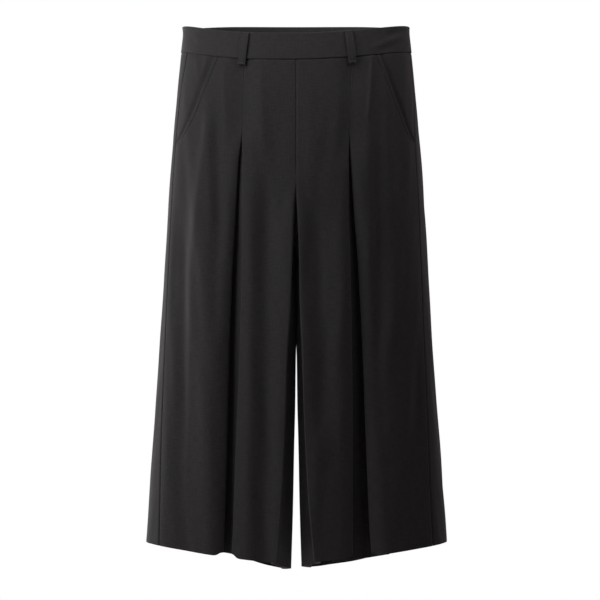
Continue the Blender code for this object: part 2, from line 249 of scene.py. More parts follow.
# Studio, in metres
FLOOR_RADIUS = 1.4
FLOOR_CORNERS = 96
FLOOR_TONES = ((0.86, 0.86, 0.86, 1.0), (0.9, 0.9, 0.9, 1.0))
FLOOR_PATCHES = 3.0
FLOOR_ROUGHNESS = 0.9
CAMERA_SIDE = 0.0049
CAMERA_HEIGHT = -0.363
SENSOR_WIDTH = 36.0
FARTHEST_SEEN = 100.0
MIDDLE = (0.0, 0.0, -0.25)
WAIST = (0.1, -0.1, 0.0)
AMBIENT_COLOUR = (1.0, 0.68, 0.76, 1.0)
Lamp = namedtuple("Lamp", "name place aim size")
LAMPS = (
    Lamp("key", (-1.42, -0.92, 0.37), MIDDLE, (1.0, 0.9)),
    Lamp("left_top", (-0.6, -0.5, 0.8), WAIST, (0.4, 0.4)),
    Lamp("right_top", (0.48, -0.53, 0.7), WAIST, (0.4, 0.4)),
    Lamp("left_rim", (-1.55, 0.9, -0.41), MIDDLE, (0.7, 0.9)),
    Lamp("right_rim", (0.6, -0.15, 0.45), WAIST, (0.3, 0.3)),
    Lamp("behind", (-0.7, 3.3, 0.9), MIDDLE, (2.0, 2.2)),
)

# The outline at each level: half its width, and how far it stands out before and behind.
Body = namedtuple("Body", "level half_width front back")
BODY = (
    Body(0, 149.0, 92, 98),
    Body(-35, 153.0, 98, 104),
    Body(-100, 159.3, 106, 115),
    Body(-165, 165.0, 110, 121),
    Body(-230, 169.6, 112, 122),
    Body(-297, 173.6, 112, 119),
    Body(-430, 182.0, 111, 112),
    Body(-563, 191.5, 109, 108),
    Body(-684, 200.0, 107, 106),
)

# How far each back's hem drops, where the level is the reach counted down from nought.
Hem = namedtuple("Hem", "level left right")
BACK_HEMS = (
    Hem(0, 42.0, 43.0),
    Hem(-30, 39.4, 39.2),
    Hem(-53, 34.0, 35.6),
    Hem(-72, 25.6, 32.5),
    Hem(-92, 18.0, 28.2),
    Hem(-103, 15.6, 25.4),
    Hem(-139, 9.4, 14.0),
    Hem(-170, 4.4, 6.5),
    Hem(-200, 0.0, 0.0),
)

# How far each side seam lies in front of the widest line, as seen from the front.
Seam = namedtuple("Seam", "level left right")
SIDE_SEAMS = (
    Seam(0, 9.5, 3.5),
    Seam(-35, 9.0, 3.0),
    Seam(-90, 5.3, 3.2),
    Seam(-165, 4.6, 7.6),
    Seam(-230, 5.0, 8.4),
    Seam(-363, 6.5, 11.0),
    Seam(-480, 9.4, 14.0),
    Seam(-550, 12.0, 16.2),
    Seam(-616, 15.3, 18.4),
    Seam(-684, 19.0, 19.4),
)

# The inside of each leg: the crests where its front and back turn in, the inseam, and how
# far the cloth between a front's crest and the inseam hangs hollow.
Inside = namedtuple(
    "Inside", "level left_crest right_crest back_crest inseam left_hollow right_hollow"
)
INSIDE_LEG = (
    Inside(-175, 0.2, 0.2, 0.2, 0.0, 0.0, 0.0),
    Inside(-203, 0.2, 0.2, 1.3, 0.0, 0.0, 0.0),
    Inside(-217, 1.6, 0.5, 2.2, 0.0, 0.1, 0.0),
    Inside(-235, 3.6, 1.4, 2.8, 0.0, 0.8, 0.2),
    Inside(-262, 4.9, 2.8, 3.6, 0.0, 1.6, 0.4),
    Inside(-297, 5.6, 4.0, 4.6, 0.0, 2.1, 0.6),
    Inside(-363, 7.7, 5.0, 6.0, 0.0, 2.0, 0.6),
    Inside(-415, 10.7, 7.4, 7.6, 0.0, 3.0, 0.8),
    Inside(-442, 12.2, 8.4, 8.4, 0.65, 3.8, 1.1),
    Inside(-496, 13.9, 10.0, 10.5, 1.45, 5.3, 2.0),
    Inside(-541, 15.7, 12.0, 13.0, 2.8, 6.0, 3.0),
    Inside(-605, 19.4, 16.0, 16.0, 4.3, 7.6, 5.6),
    Inside(-684, 24.9, 23.9, 20.0, 6.9, 11.0, 10.5),
)

# The two folded edges of each pleat, and the distance from one layer to the next.
Pleat = namedtuple(
    "Pleat", "level left_inner left_outer right_inner right_outer left_layer right_layer"
)
PLEATS = (
    Pleat(-35, 69.9, 69.7, 73.8, 73.6, 1.1, 1.1),
    Pleat(-140, 71.9, 71.8, 70.9, 70.8, 1.1, 1.1),
    Pleat(-150, 71.8, 72.4, 70.6, 71.1, 1.4, 1.5),
    Pleat(-180, 70.8, 76.2, 69.2, 72.4, 2.1, 2.5),
    Pleat(-245, 71.0, 80.6, 69.6, 77.0, 2.8, 3.8),
    Pleat(-323, 71.9, 85.6, 71.6, 83.4, 4.1, 4.9),
    Pleat(-430, 75.2, 90.3, 73.7, 89.4, 4.8, 6.2),
    Pleat(-560, 80.6, 93.4, 74.7, 94.4, 5.4, 7.6),
    Pleat(-640, 83.7, 96.0, 74.8, 98.0, 6.0, 8.3),
    Pleat(-684, 85.8, 97.4, 74.8, 101.2, 6.2, 8.6),
)

# How deep the folded edges of the pleats roll back below their stitching, and how wide.
Roll = namedtuple("Roll", "level inner outer width")
ROLLS = (
    Roll(-144, 0.0, 0.0, 9.0),
    Roll(-190, 1.5, 3.4, 11.0),
    Roll(-330, 3.6, 7.2, 15.0),
    Roll(-480, 4.8, 8.4, 19.0),
    Roll(-684, 5.2, 8.8, 20.0),
)

# The slanted pocket edge of each front, from the band to the side seam.
Pocket = namedtuple("Pocket", "level left right")
POCKETS = (
    Pocket(-35, 107.5, 110.2),
    Pocket(-60, 117.0, 118.4),
    Pocket(-86, 126.5, 127.6),
    Pocket(-124, 140.5, 141.4),
    Pocket(-145, 151.0, 149.6),
    Pocket(-157, 160.0, 158.0),
)

# Long soft folds of the frame: a ridge has a height above nought, a trough below it.
Fold = namedtuple("Fold", "top_level top_reach foot_level foot_reach width height")
FOLDS = {
    "front_left": (
        Fold(-150, 121, -760, 108, 15, 4.2),
        Fold(-60, 103, -430, 106, 9, -2.4),
        Fold(-170, 60, -760, 63, 10, 2.4),
        Fold(-165, 38, -760, 40, 13, -4.8),
        Fold(-190, 7, -540, 11, 15, 3.0),
        Fold(-200, 153, -760, 147, 14, -4.2),
    ),
    "front_right": (
        Fold(-140, 126, -440, 130, 12, 2.6),
        Fold(-110, 105, -560, 110, 9, -2.6),
        Fold(-190, 60, -560, 57, 12, 2.0),
        Fold(-190, 33, -560, 32, 15, -4.6),
        Fold(-330, 12, -800, 12, 34, 6.5),
        Fold(-400, 158, -760, 160, 14, -2.4),
    ),
    "back_left": (
        Fold(-230, 40, -760, 52, 15, 4.2),
        Fold(-210, 76, -760, 88, 15, -4.6),
        Fold(-250, 116, -760, 126, 16, 4.4),
        Fold(-330, 156, -760, 163, 15, -3.4),
    ),
    "back_right": (
        Fold(-260, 34, -760, 44, 14, 3.6),
        Fold(-230, 66, -760, 76, 14, -4.0),
        Fold(-215, 104, -760, 112, 17, 4.8),
        Fold(-300, 146, -760, 152, 15, -4.0),
    ),
}

# Finer creases, each from one end to the other, in any direction. The edge
# is nought for a soft one and nears one for one that was pressed sharp.
Crease = namedtuple("Crease", "level reach end_level end_reach width height edge")
CREASES = {
    "front_left": (
        Crease(-30, 95, -165, 92, 7.0, 1.8, 0.7),
        Crease(-20, 70, -165, 71, 15.0, -2.8, 0.0),
        Crease(-30, 47, -175, 43, 10.0, 2.0, 0.6),
        Crease(-95, 119, -290, 108, 6.0, 1.8, 0.3),
        Crease(-95, 108, -310, 97, 7.0, -1.7, 0.0),
        Crease(-100, 113, -330, 140, 8.0, 2.1, 0.2),
        Crease(-300, 139, -640, 146, 8.0, 1.5, 0.2),
        Crease(-150, 148, -620, 156, 8.0, -1.6, 0.0),
        Crease(-40, 132, -76, 126, 4.0, 0.9, 0.3),
        Crease(-34, 117, -66, 123, 3.2, 1.2, 0.2),
        Crease(-150, 66, -215, 60, 3.5, -0.5, 0.0),
        Crease(-200, 3, -440, 12, 9.0, 2.0, 0.3),
        Crease(-205, 8, -262, 26, 5.0, -0.4, 0.0),
        Crease(-228, 6, -300, 20, 5.0, 0.4, 0.0),
        Crease(-360, 104, -690, 108, 6.0, -0.8, 0.0),
        Crease(-430, 92, -640, 98, 5.0, 0.6, 0.5),
        Crease(-420, 20, -690, 24, 8.0, 1.0, 0.0),
    ),
    "front_right": (
        Crease(-30, 99.5, -130, 93.5, 4.6, 3.0, 1.0),
        Crease(-118, 93, -340, 99, 9.0, 2.2, 0.3),
        Crease(-30, 73, -180, 70, 13.0, -3.6, 0.0),
        Crease(-30, 117, -240, 119, 8.0, 2.2, 0.1),
        Crease(-30, 141, -200, 146, 8.0, 1.6, 0.1),
        Crease(-60, 56, -175, 52, 9.0, 1.0, 0.2),
        Crease(-66, 20, -215, 14, 8.0, 0.9, 0.2),
        Crease(-110, 138, -250, 134, 9.0, -1.3, 0.0),
        Crease(-200, 3, -430, 9, 9.0, 2.4, 0.35),
        Crease(-206, 7, -268, 26, 5.0, -0.4, 0.0),
        Crease(-232, 6, -305, 18, 5.0, 0.4, 0.0),
        Crease(-240, 108, -420, 114, 8.0, -1.5, 0.0),
        Crease(-250, 146, -560, 150, 8.0, 1.0, 0.2),
        Crease(-250, 38, -400, 41, 7.0, 1.0, 0.0),
        Crease(-440, 22, -690, 26, 8.0, 1.0, 0.0),
    ),
    "back_left": (
        Crease(-40, 30, -170, 20, 8.0, -0.8, 0.2),
        Crease(-44, 66, -190, 58, 9.0, 0.9, 0.2),
        Crease(-48, 112, -220, 104, 8.0, -0.9, 0.2),
        Crease(-186, 8, -250, 42, 6.0, -1.0, 0.2),
        Crease(-206, 7, -285, 34, 5.5, 0.8, 0.2),
        Crease(-244, 9, -330, 26, 5.5, -0.8, 0.2),
        Crease(-330, 60, -620, 66, 7.0, -0.9, 0.2),
        Crease(-360, 100, -690, 104, 7.0, 0.8, 0.2),
        Crease(-400, 138, -690, 143, 7.0, -0.9, 0.2),
    ),
    "back_right": (
        Crease(-42, 24, -160, 28, 8.0, 0.8, 0.2),
        Crease(-40, 70, -200, 64, 9.0, -0.9, 0.2),
        Crease(-52, 118, -210, 112, 8.0, 0.8, 0.2),
        Crease(-182, 8, -246, 38, 6.0, -1.0, 0.2),
        Crease(-214, 7, -290, 30, 5.5, 0.8, 0.2),
        Crease(-250, 9, -345, 24, 5.5, -0.8, 0.2),
        Crease(-310, 52, -600, 56, 7.0, 0.8, 0.2),
        Crease(-350, 88, -690, 92, 7.0, -0.9, 0.2),
        Crease(-380, 128, -690, 130, 7.0, 0.9, 0.2),
    ),
}
BAND_CREASES = {
    "front_left": (
        Crease(-12, 143, -23, 132, 3.4, -0.9, 0.0),
        Crease(-7, 142, -16, 128, 3.6, 0.5, 0.0),
        Crease(-14, 112, -30, 90, 5.0, -0.3, 0.2),
    ),
    "front_right": (
        Crease(-5, 147, -12, 118, 4.0, -1.6, 0.2),
        Crease(-11, 148, -27, 96, 4.5, 1.0, 0.4),
        Crease(-20, 148, -31, 108, 4.0, -0.8, 0.2),
    ),
    "back_left": (Crease(-6, 140, -22, 118, 4.0, -0.5, 0.2),),
    "back_right": (Crease(-8, 142, -26, 122, 4.0, -0.5, 0.2),),
}

# Small unevenness of hanging cloth: lengths across and down of each wave, and its height.
Wave = namedtuple("Wave", "across down start height")
WAVES = (
    Wave(61.0, 330.0, 0.7, 0.34),
    Wave(-37.0, 215.0, 2.1, 0.22),
    Wave(23.0, -140.0, 4.0, 0.13),
    Wave(-90.0, 96.0, 5.2, 0.14),
)

# Belt loops: the half they lie on, their reach at the band's top and at their own foot.
Loop = namedtuple("Loop", "name side face top_reach foot_reach")
LOOPS = (
    Loop("belt_loop_front_left", "left", "front", 66.6, 71.8),
    Loop("belt_loop_front_right", "right", "front", 68.2, 73.6),
    Loop("belt_loop_back_left", "left", "back", 84.0, 88.0),
    Loop("belt_loop_back_right", "right", "back", 84.0, 88.0),
    Loop("belt_loop_back_middle", "right", "back", 0.0, 0.0),
)

# What a piece is cut to: width and length in metres, and area in square metres; no piece is given
# one.
Cut = namedtuple("Cut", "width length area")


# ---------------------------------------------------------------- form of the garment


def ease(start, end, value):
    """Nought at start and before it, one at end and after it, with a smooth rise between."""
    t = min(max((value - start) / (end - start), 0.0), 1.0)
    return t * t * (3.0 - 2.0 * t)


def slope(table, column, index):
    """The slope of a column at a row, nought where the column turns."""
    if index in (0, len(table) - 1):
        near = table[1] if index == 0 else table[-2]
        here = table[index]
        return (getattr(near, column) - getattr(here, column)) / (near.level - here.level)
    above, here, below = table[index - 1], table[index], table[index + 1]
    first = (getattr(here, column) - getattr(above, column)) / (here.level - above.level)
    second = (getattr(below, column) - getattr(here, column)) / (below.level - here.level)
    if first * second <= 0.0:
        return 0.0
    return 2.0 * first * second / (first + second)


def read(table, column, level):
    """The value of a table's column at a level, on a smooth curve through its rows."""
    if level >= table[0].level:
        return getattr(table[0], column)
    if level <= table[-1].level:
        return getattr(table[-1], column)
    index = next(k for k in range(len(table) - 1) if level >= table[k + 1].level)
    above, below = table[index], table[index + 1]
    span = below.level - above.level
    t = (level - above.level) / span
    start, end = getattr(above, column), getattr(below, column)
    rise_start = slope(table, column, index) * span
    rise_end = slope(table, column, index + 1) * span
    square, cube = t * t, t * t * t
    return (
        (2 * cube - 3 * square + 1) * start
        + (cube - 2 * square + t) * rise_start
        + (3 * square - 2 * cube) * end
        + (cube - square) * rise_end
    )


def long_folds(name, level, reach):
    """How far the frame's long folds push the cloth out at a level and a reach."""
    total = 0.0
    for fold in FOLDS[name]:
        share = (level - fold.top_level) / (fold.foot_level - fold.top_level)
        if 0.0 < share < 1.0:
            middle = fold.top_reach + (fold.foot_reach - fold.top_reach) * share
            fade = ease(0.0, FOLD_FADE, fold.top_level - level)
            fade *= ease(0.0, FOLD_FADE / 2.0, level - fold.foot_level)
            total += fold.height * fade * math.exp(-(((reach - middle) / fold.width) ** 2))
    return total


def fine_creases(creases, level, reach):
    """How far the finer creases push the cloth out."""
    total = 0.0
    for crease in creases:
        run, rise = crease.end_reach - crease.reach, crease.end_level - crease.level
        size = math.hypot(run, rise)
        over, down = reach - crease.reach, level - crease.level
        share = (over * run + down * rise) / (size * size)
        if -CREASE_OVERRUN < share < 1.0 + CREASE_OVERRUN:
            off = (over * rise - down * run) / size / crease.width
            fade = ease(-CREASE_OVERRUN, CREASE_FADE, share)
            fade *= ease(-CREASE_OVERRUN, CREASE_FADE, 1.0 - share)
            soft, sharp = math.exp(-off * off), math.exp(-CREASE_STEEPNESS * abs(off))
            total += crease.height * fade * (soft + (sharp - soft) * crease.edge)
    return total


def unevenness(name, level, distance):
    """The slight waves of cloth that hangs."""
    turn = WAVE_TURN_FRONT * ("front" in name) + WAVE_TURN_LEFT * ("left" in name)
    total = 0.0
    for wave in WAVES:
        phase = distance / wave.across + level / wave.down
        total += wave.height * math.sin(2.0 * math.pi * phase + wave.start + turn)
    return total * ease(*WAVES_FADE, level)


def pleat_roll(side, level, reach):
    """How far the two folded edges of a pleat roll back, once its stitching has ended."""
    inner, outer = read(PLEATS, side + "_inner", level), read(PLEATS, side + "_outer", level)
    across = min(max((reach - inner) / max(outer - inner, NARROWEST_PLEAT), 0.0), 1.0)
    start, end = read(ROLLS, "inner", level), read(ROLLS, "outer", level)
    off = max(inner - reach, reach - outer, 0.0) / read(ROLLS, "width", level)
    return -(start + (end - start) * across) * max(1.0 - off, 0.0) ** 2


class Section:
    """The outer line of one half's front or back at a level, from the centre to its seam."""

    def __init__(self, side, face, level):
        self.side, self.face, self.level = side, face, level
        self.name = face + "_" + side
        half = read(BODY, "half_width", level)
        share = 1.0 - read(SIDE_SEAMS, side, level) / half
        seam = math.asin(share ** (SECTION_POWER / 2.0))
        first, last = (0.0, seam) if face == "front" else (math.pi, seam)
        turns = np.linspace(first, last, CURVE_STEPS + 1)
        sine, cosine = np.sin(turns), np.cos(turns)
        reach = half * np.abs(sine) ** (2.0 / SECTION_POWER)
        rear = read(BODY, "back", level)
        ahead = read(BODY, "front", level)
        depth = np.where(cosine > 0.0, ahead, rear)
        y = -np.copysign(depth * np.abs(cosine) ** (2.0 / SECTION_POWER), cosine)
        self.reach, self.y = reach.tolist(), y.tolist()
        runs = np.hypot(np.diff(reach), np.diff(y))
        self.lengths = np.concatenate([[0.0], np.cumsum(runs)]).tolist()
        self.length = self.lengths[-1]

    def locate(self, distance):
        """The point and the outward direction at a distance from the centre."""
        index = min(max(bisect.bisect_left(self.lengths, distance) - 1, 0), CURVE_STEPS - 1)
        run = self.lengths[index + 1] - self.lengths[index]
        share = (distance - self.lengths[index]) / run
        reach, y = self.reach, self.y
        point = (
            reach[index] + (reach[index + 1] - reach[index]) * share,
            y[index] + (y[index + 1] - y[index]) * share,
        )
        before = (reach[index - 1], y[index - 1]) if index else (-reach[1], y[1])
        ahead = min(index + 2, CURVE_STEPS)
        way = (reach[ahead] - before[0], y[ahead] - before[1])
        size = math.hypot(*way)
        outward = (way[1] / size, -way[0] / size)
        if self.face == "back":
            outward = (-outward[0], -outward[1])
        return point, outward

    def distance(self, reach):
        """The distance from the centre, along the line, at which a reach is passed."""
        for index in range(CURVE_STEPS):
            low, high = self.reach[index], self.reach[index + 1]
            if high >= reach:
                share = (reach - low) / (high - low)
                run = self.lengths[index + 1] - self.lengths[index]
                return self.lengths[index] + run * share
        return self.length

    def place(self, distance, depth=0.0, thickness=CLOTH, creases=CREASES):
        """The middle of the cloth at a distance, sunk to a depth behind the outer line."""
        point, outward = self.locate(distance)
        out = long_folds(self.name, self.level, point[0])
        if creases is CREASES:
            middle = ease(0.0, SEAM_CALM, distance)
            out += unevenness(self.name, self.level, distance) * middle
        if creases:
            out += fine_creases(creases[self.name], self.level, point[0])
        out *= ease(self.length, self.length - SEAM_CALM, distance)
        out -= thickness / 2.0 + depth
        if self.face == "front":
            out += pleat_roll(self.side, self.level, point[0])
        return point[0] + outward[0] * out, point[1] + outward[1] * out


def lift(side, reach, y, level):
    """How far a point rises or falls from its level: the waist's dip and the hem's drop."""
    behind = ease(-BAND_TURN, BAND_TURN, y)
    waist = min(abs(reach) / BODY[0].half_width, 1.0)
    dip = -BAND_DIP_FRONT * (1.0 - waist ** BAND_DIP_POWER[side])
    rise = BAND_RISE_BACK * (1.0 - waist ** BAND_RISE_POWER)
    at_waist = ease(DIP_FADES_AT, -BAND_DEPTH, level)
    foot = min(abs(reach) / BODY[-1].half_width, 1.0)
    across = min(max((y - HEM_FRONT) / HEM_SPAN, 0.0), 1.0) ** HEM_SPAN_POWER
    ahead = HEM_DROP_FRONT * (1.0 - foot ** HEM_POWER[side])
    drop = ahead + (read(BACK_HEMS, side, -abs(reach)) - ahead) * across
    inside = ease(*HEM_INSIDE_REACH, abs(reach)) * ease(*HEM_INSIDE_DEPTH, y)
    drop += HEM_DROP_INSIDE[side] * inside
    at_hem = ease(DROP_STARTS_AT, HEM_LEVEL, level) if level < DROP_STARTS_AT else 0.0
    return at_waist * (dip * (1.0 - behind) + rise * behind) - at_hem * drop


def stand(side, line, level, raised=None):
    """A row's points in the round, each raised by its own amount where that is given."""
    raised = raised or [0.0] * len(line)
    return [
        (SIGN[side] * reach, y, level + lift(side, reach, y, level) + more)
        for (reach, y), more in zip(line, raised)
    ]


def steps(start, end, count, power=1.0):
    """Count values from start to end without the start, closer at the end by the power."""
    return [end - (end - start) * (1.0 - k / count) ** power for k in range(1, count + 1)]


def rounded(start, corner, end, count):
    """Count + 1 points from start to end, rounding the corner between them."""
    points = []
    for k in range(count + 1):
        t = k / count
        first, second, third = (1 - t) ** 2, 2 * t * (1 - t), t * t
        parts = zip(start, corner, end)
        points.append(tuple(first * a + second * b + third * c for a, b, c in parts))
    return points


def crotch_share(section):
    """How far the inner edge has swept from the centre seam to the inseam."""
    top = FRONT_CURVE_TOP if section.face == "front" else BACK_CURVE_TOP
    fallen = min(max((top - section.level) / (top - CROTCH_LEVEL), 0.0), 1.0)
    return 1.0 - math.sqrt(1.0 - fallen * fallen)


def line_length(points):
    """The length of a line of points."""
    return sum(math.dist(here, there) for here, there in zip(points, points[1:]))


def along(points, positions):
    """The points that lie at the given distances along a line of points."""
    lengths = [0.0]
    for here, there in zip(points, points[1:]):
        lengths.append(lengths[-1] + math.dist(here, there))
    found, index = [], 0
    for position in positions:
        while index < len(points) - 2 and lengths[index + 1] < position:
            index += 1
        run = max(lengths[index + 1] - lengths[index], 1e-9)
        share = min((position - lengths[index]) / run, 1.0)
        here, there = points[index], points[index + 1]
        found.append(tuple(a + (b - a) * share for a, b in zip(here, there)))
    return found


def inner_strip(section):
    """The cloth from its inner edge, round the crest of the leg, to the open panel."""
    front = section.face == "front"
    below = section.level < (FRONT_CURVE_TOP if front else BACK_CURVE_TOP)
    column = section.side + "_crest" if front else "back_crest"
    crest = read(INSIDE_LEG, column, section.level) if below else 0.0
    start = section.distance(crest)
    corner = section.place(start)
    inner_y = corner[1] + (CROTCH_DEPTH - corner[1]) * crotch_share(section)
    inner_x = corner[0]
    if below:
        inner_x = read(INSIDE_LEG, "inseam", section.level) + CLOTH / 2.0 - LEGS_PRESS
    length = math.dist((inner_x, inner_y), corner)
    radius = min(INNER_TURN, CREST_SHARE * length)
    path = [corner]
    if radius > 0.0:
        share = radius / length
        turn_in = tuple(c + (i - c) * share for i, c in zip((inner_x, inner_y), corner))
        hollow = read(INSIDE_LEG, section.side + "_hollow", section.level) if front else 0.0
        path = []
        for k in range(STRIP_STEPS + 1):
            t = 1.0 - k / STRIP_STEPS
            x = turn_in[0] + (inner_x - turn_in[0]) * t
            y = turn_in[1] + (inner_y - turn_in[1]) * t
            path.append((x + hollow * math.sin(math.pi * math.sqrt(t)), y))
        path += rounded(turn_in, corner, section.place(start + radius), CREST_STEPS)[1:]
    path += [section.place(start + v) for v in steps(radius, INNER_STRIP, OPEN_STEPS)]
    whole = line_length(path)
    if radius > 0.0:
        length = radius + line_length(path[:STRIP_STEPS + 1])
    first = max(length - radius, SEAM_STRIP)
    second = max(length + radius, first + SEAM_STRIP)
    positions = [0.0] + steps(0.0, first, INSEAM_COLUMNS, INSEAM_POWER)
    positions += steps(first, second, CREST_COLUMNS)
    positions += steps(second, whole, PAST_CREST_COLUMNS)
    return along(path, positions), start + INNER_STRIP


def turned(middle, depth, radius, start, stop, count, way):
    """Points round a fold, as distance and depth, through angles in degrees."""
    points = []
    for k in range(count + 1):
        angle = math.radians(start + (stop - start) * k / count)
        points.append((middle + way * radius * math.cos(angle), depth + radius * math.sin(angle)))
    return points


def pleat_line(section):
    """Distance and depth of each point of the pleat, edge to edge through its three layers."""
    level, side = section.level, section.side
    layer = read(PLEATS, side + "_layer", level)
    radius = layer / 2.0
    tight = min(radius, FOLD_RADIUS)
    inner = section.distance(read(PLEATS, side + "_inner", level)) - CLOTH / 2.0
    outer = section.distance(read(PLEATS, side + "_outer", level)) + CLOTH / 2.0
    far_in, far_out = inner - PLEAT_DEPTH, outer + PLEAT_DEPTH
    depths = steps(2.0 * tight, layer, LAYER_COLUMNS)[:-1]
    way_in = steps(inner - tight, far_in + radius, LAYER_COLUMNS)[:-1]
    deep = steps(far_in + radius, far_out - radius, DEEP_LAYER_COLUMNS)[:-1]
    way_out = steps(far_out - radius, outer + tight, LAYER_COLUMNS)[:-1]
    line = turned(inner - tight, tight, tight, -90, 90, FOLD_COLUMNS, 1)
    line += list(zip(way_in, depths))
    line += turned(far_in + radius, 3 * radius, radius, -90, 90, LAYER_COLUMNS, -1)
    line += [(distance, 2 * layer) for distance in deep]
    line += turned(far_out - radius, 3 * radius, radius, 90, -90, LAYER_COLUMNS, 1)
    line += list(zip(way_out, depths[::-1]))
    line += turned(outer + tight, tight, tight, 90, -90, FOLD_COLUMNS, -1)
    return line


# ---------------------------------------------------------------- sewing of the shells


class Sink:
    """How far a shell's outer and inner faces are drawn in, by row and column."""

    def __init__(self, rows):
        self.grid = np.array(rows)
        self.outer = np.zeros(self.grid.shape[:2])
        self.inner = np.zeros(self.grid.shape[:2])
        runs = np.linalg.norm(np.diff(self.grid, axis=1), axis=2)
        self.across = np.concatenate([np.zeros((len(rows), 1)), np.cumsum(runs, axis=1)], axis=1)
        falls = np.linalg.norm(np.diff(self.grid, axis=0), axis=2)
        self.down = np.concatenate([np.zeros((1, len(rows[0]))), np.cumsum(falls, axis=0)], axis=0)

    def press(self, distance, depth, width):
        """A stitched line that presses the outer face in over a width."""
        self.outer += depth * np.exp(-((distance / width) ** 2))

    def dip(self, distance, depth, width):
        """A sewn edge where the whole cloth is drawn in over a width."""
        drawn = depth * np.exp(-((distance / width) ** 2))
        self.outer += drawn
        self.inner -= drawn

    def round_off(self, distance, radius, half):
        """A rounded rim: both faces close on the middle of the cloth."""
        near = np.clip(1.0 - distance / radius, 0.0, 1.0)
        drawn = half * (1.0 - np.sqrt(1.0 - RIM_ROUNDNESS * near * near))
        self.outer += drawn
        self.inner += drawn

    def from_start(self):
        """The distance of each point from the first column."""
        return self.across

    def from_end(self):
        """The distance of each point from the last column."""
        return self.across[:, -1:] - self.across

    def from_sides(self):
        """The distance of each point from the nearer of the first and last columns."""
        return np.minimum(self.from_start(), self.from_end())

    def from_top(self):
        """The distance of each point from the first row."""
        return self.down

    def from_foot(self):
        """The distance of each point from the last row."""
        return self.down[-1:, :] - self.down


def plan_normals(grid):
    """The level direction through the cloth at each point, long enough for a mitre."""
    step = np.diff(grid[:, :, :2], axis=1)
    step /= np.maximum(np.linalg.norm(step, axis=2, keepdims=True), 1e-9)
    way = np.stack([step[:, :, 1], -step[:, :, 0]], axis=2)
    before = np.concatenate([way[:, :1], way], axis=1)
    after = np.concatenate([way, way[:, -1:]], axis=1)
    both = before + after
    both /= np.maximum(np.linalg.norm(both, axis=2, keepdims=True), 1e-9)
    fit = np.maximum((both * before).sum(axis=2, keepdims=True), 0.5)
    return both / fit


def sew_shell(name, sink, thickness, outward, material, grain=0):
    """A closed shell of cloth about the sink's grid, with a map in metres along its threads.

    The lengthwise threads are straight in the column that is the grain.
    """
    grid, half = sink.grid, thickness / 2.0
    count_down, count_over = grid.shape[:2]
    normal = plan_normals(grid) * outward
    sides = []
    for way, drawn in ((1.0, sink.outer), (-1.0, sink.inner)):
        side = grid.copy()
        side[:, :, :2] += normal * (way * (half - drawn))[:, :, None]
        sides.append(side.reshape(-1, 3))
    points = np.concatenate(sides) * MM
    index = np.arange(count_down * count_over).reshape(count_down, count_over)
    back = index + index.size

    def quads(a, b, c, d):
        """Faces from four grids of corners."""
        return np.stack([a, b, c, d], axis=-1).reshape(-1, 4)

    outer = quads(index[:-1, :-1], index[:-1, 1:], index[1:, 1:], index[1:, :-1])
    inner = quads(back[:-1, :-1], back[1:, :-1], back[1:, 1:], back[:-1, 1:])
    rims = []
    for column, flip in ((0, False), (-1, True)):
        rim = [index[:-1, column], index[1:, column], back[1:, column], back[:-1, column]]
        rims.append(quads(*(rim[::-1] if flip else rim)))
    for row, flip in ((0, True), (-1, False)):
        rim = [index[row, :-1], index[row, 1:], back[row, 1:], back[row, :-1]]
        rims.append(quads(*(rim[::-1] if flip else rim)))
    faces = np.concatenate([outer, inner, *rims])
    if outward > 0:
        faces = faces[:, ::-1]
    mesh = bpy.data.meshes.new(name)
    mesh.from_pydata(points.tolist(), [], faces.tolist())
    over = (sink.across - sink.across[:, [grain]]) * MM
    fallen = np.broadcast_to(-sink.down[:, [grain]] * MM, over.shape)
    flat = np.stack([over, fallen], axis=-1).reshape(-1, 2)
    corners = np.concatenate([flat, flat])[faces.reshape(-1)]
    mesh.uv_layers.new(name="threads").data.foreach_set("uv", corners.astype(np.float32).ravel())
    mesh.validate()
    mesh.shade_smooth()
    mesh.set_sharp_from_angle(angle=math.radians(SHARP_ANGLE))
    mesh.materials.append(material)
    piece = bpy.data.objects.new(name, mesh)
    bpy.context.scene.collection.objects.link(piece)
    return piece


def hang(piece, node, rests_on):
    """Puts a sewn shell in the place of its frame node."""
    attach(piece, "root")
    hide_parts(node)


def panel_levels(stop):
    """Levels of the rows of a panel, closer where more is sewn."""
    top = -BAND_DEPTH
    levels = [top + SEAM_TUCK, top + SEAM_TUCK / 2.0]
    levels += [top - fall for fall in SEAM_ROWS]
    for end, gap in ROW_GAPS:
        count = max(round((levels[-1] - end) / gap), 1)
        levels += [levels[-1] + (end - levels[-1]) * k / count for k in range(1, count + 1)]
    levels += [HEM_LEVEL + rise for rise in HEM_ROWS]
    return [level for level in levels if level >= stop]


def pocket_edge(section):
    """The distance from the centre to the slanted pocket edge, or to the seam that it meets."""
    reach = read(POCKETS, section.side, section.level)
    return min(section.length, section.distance(reach))


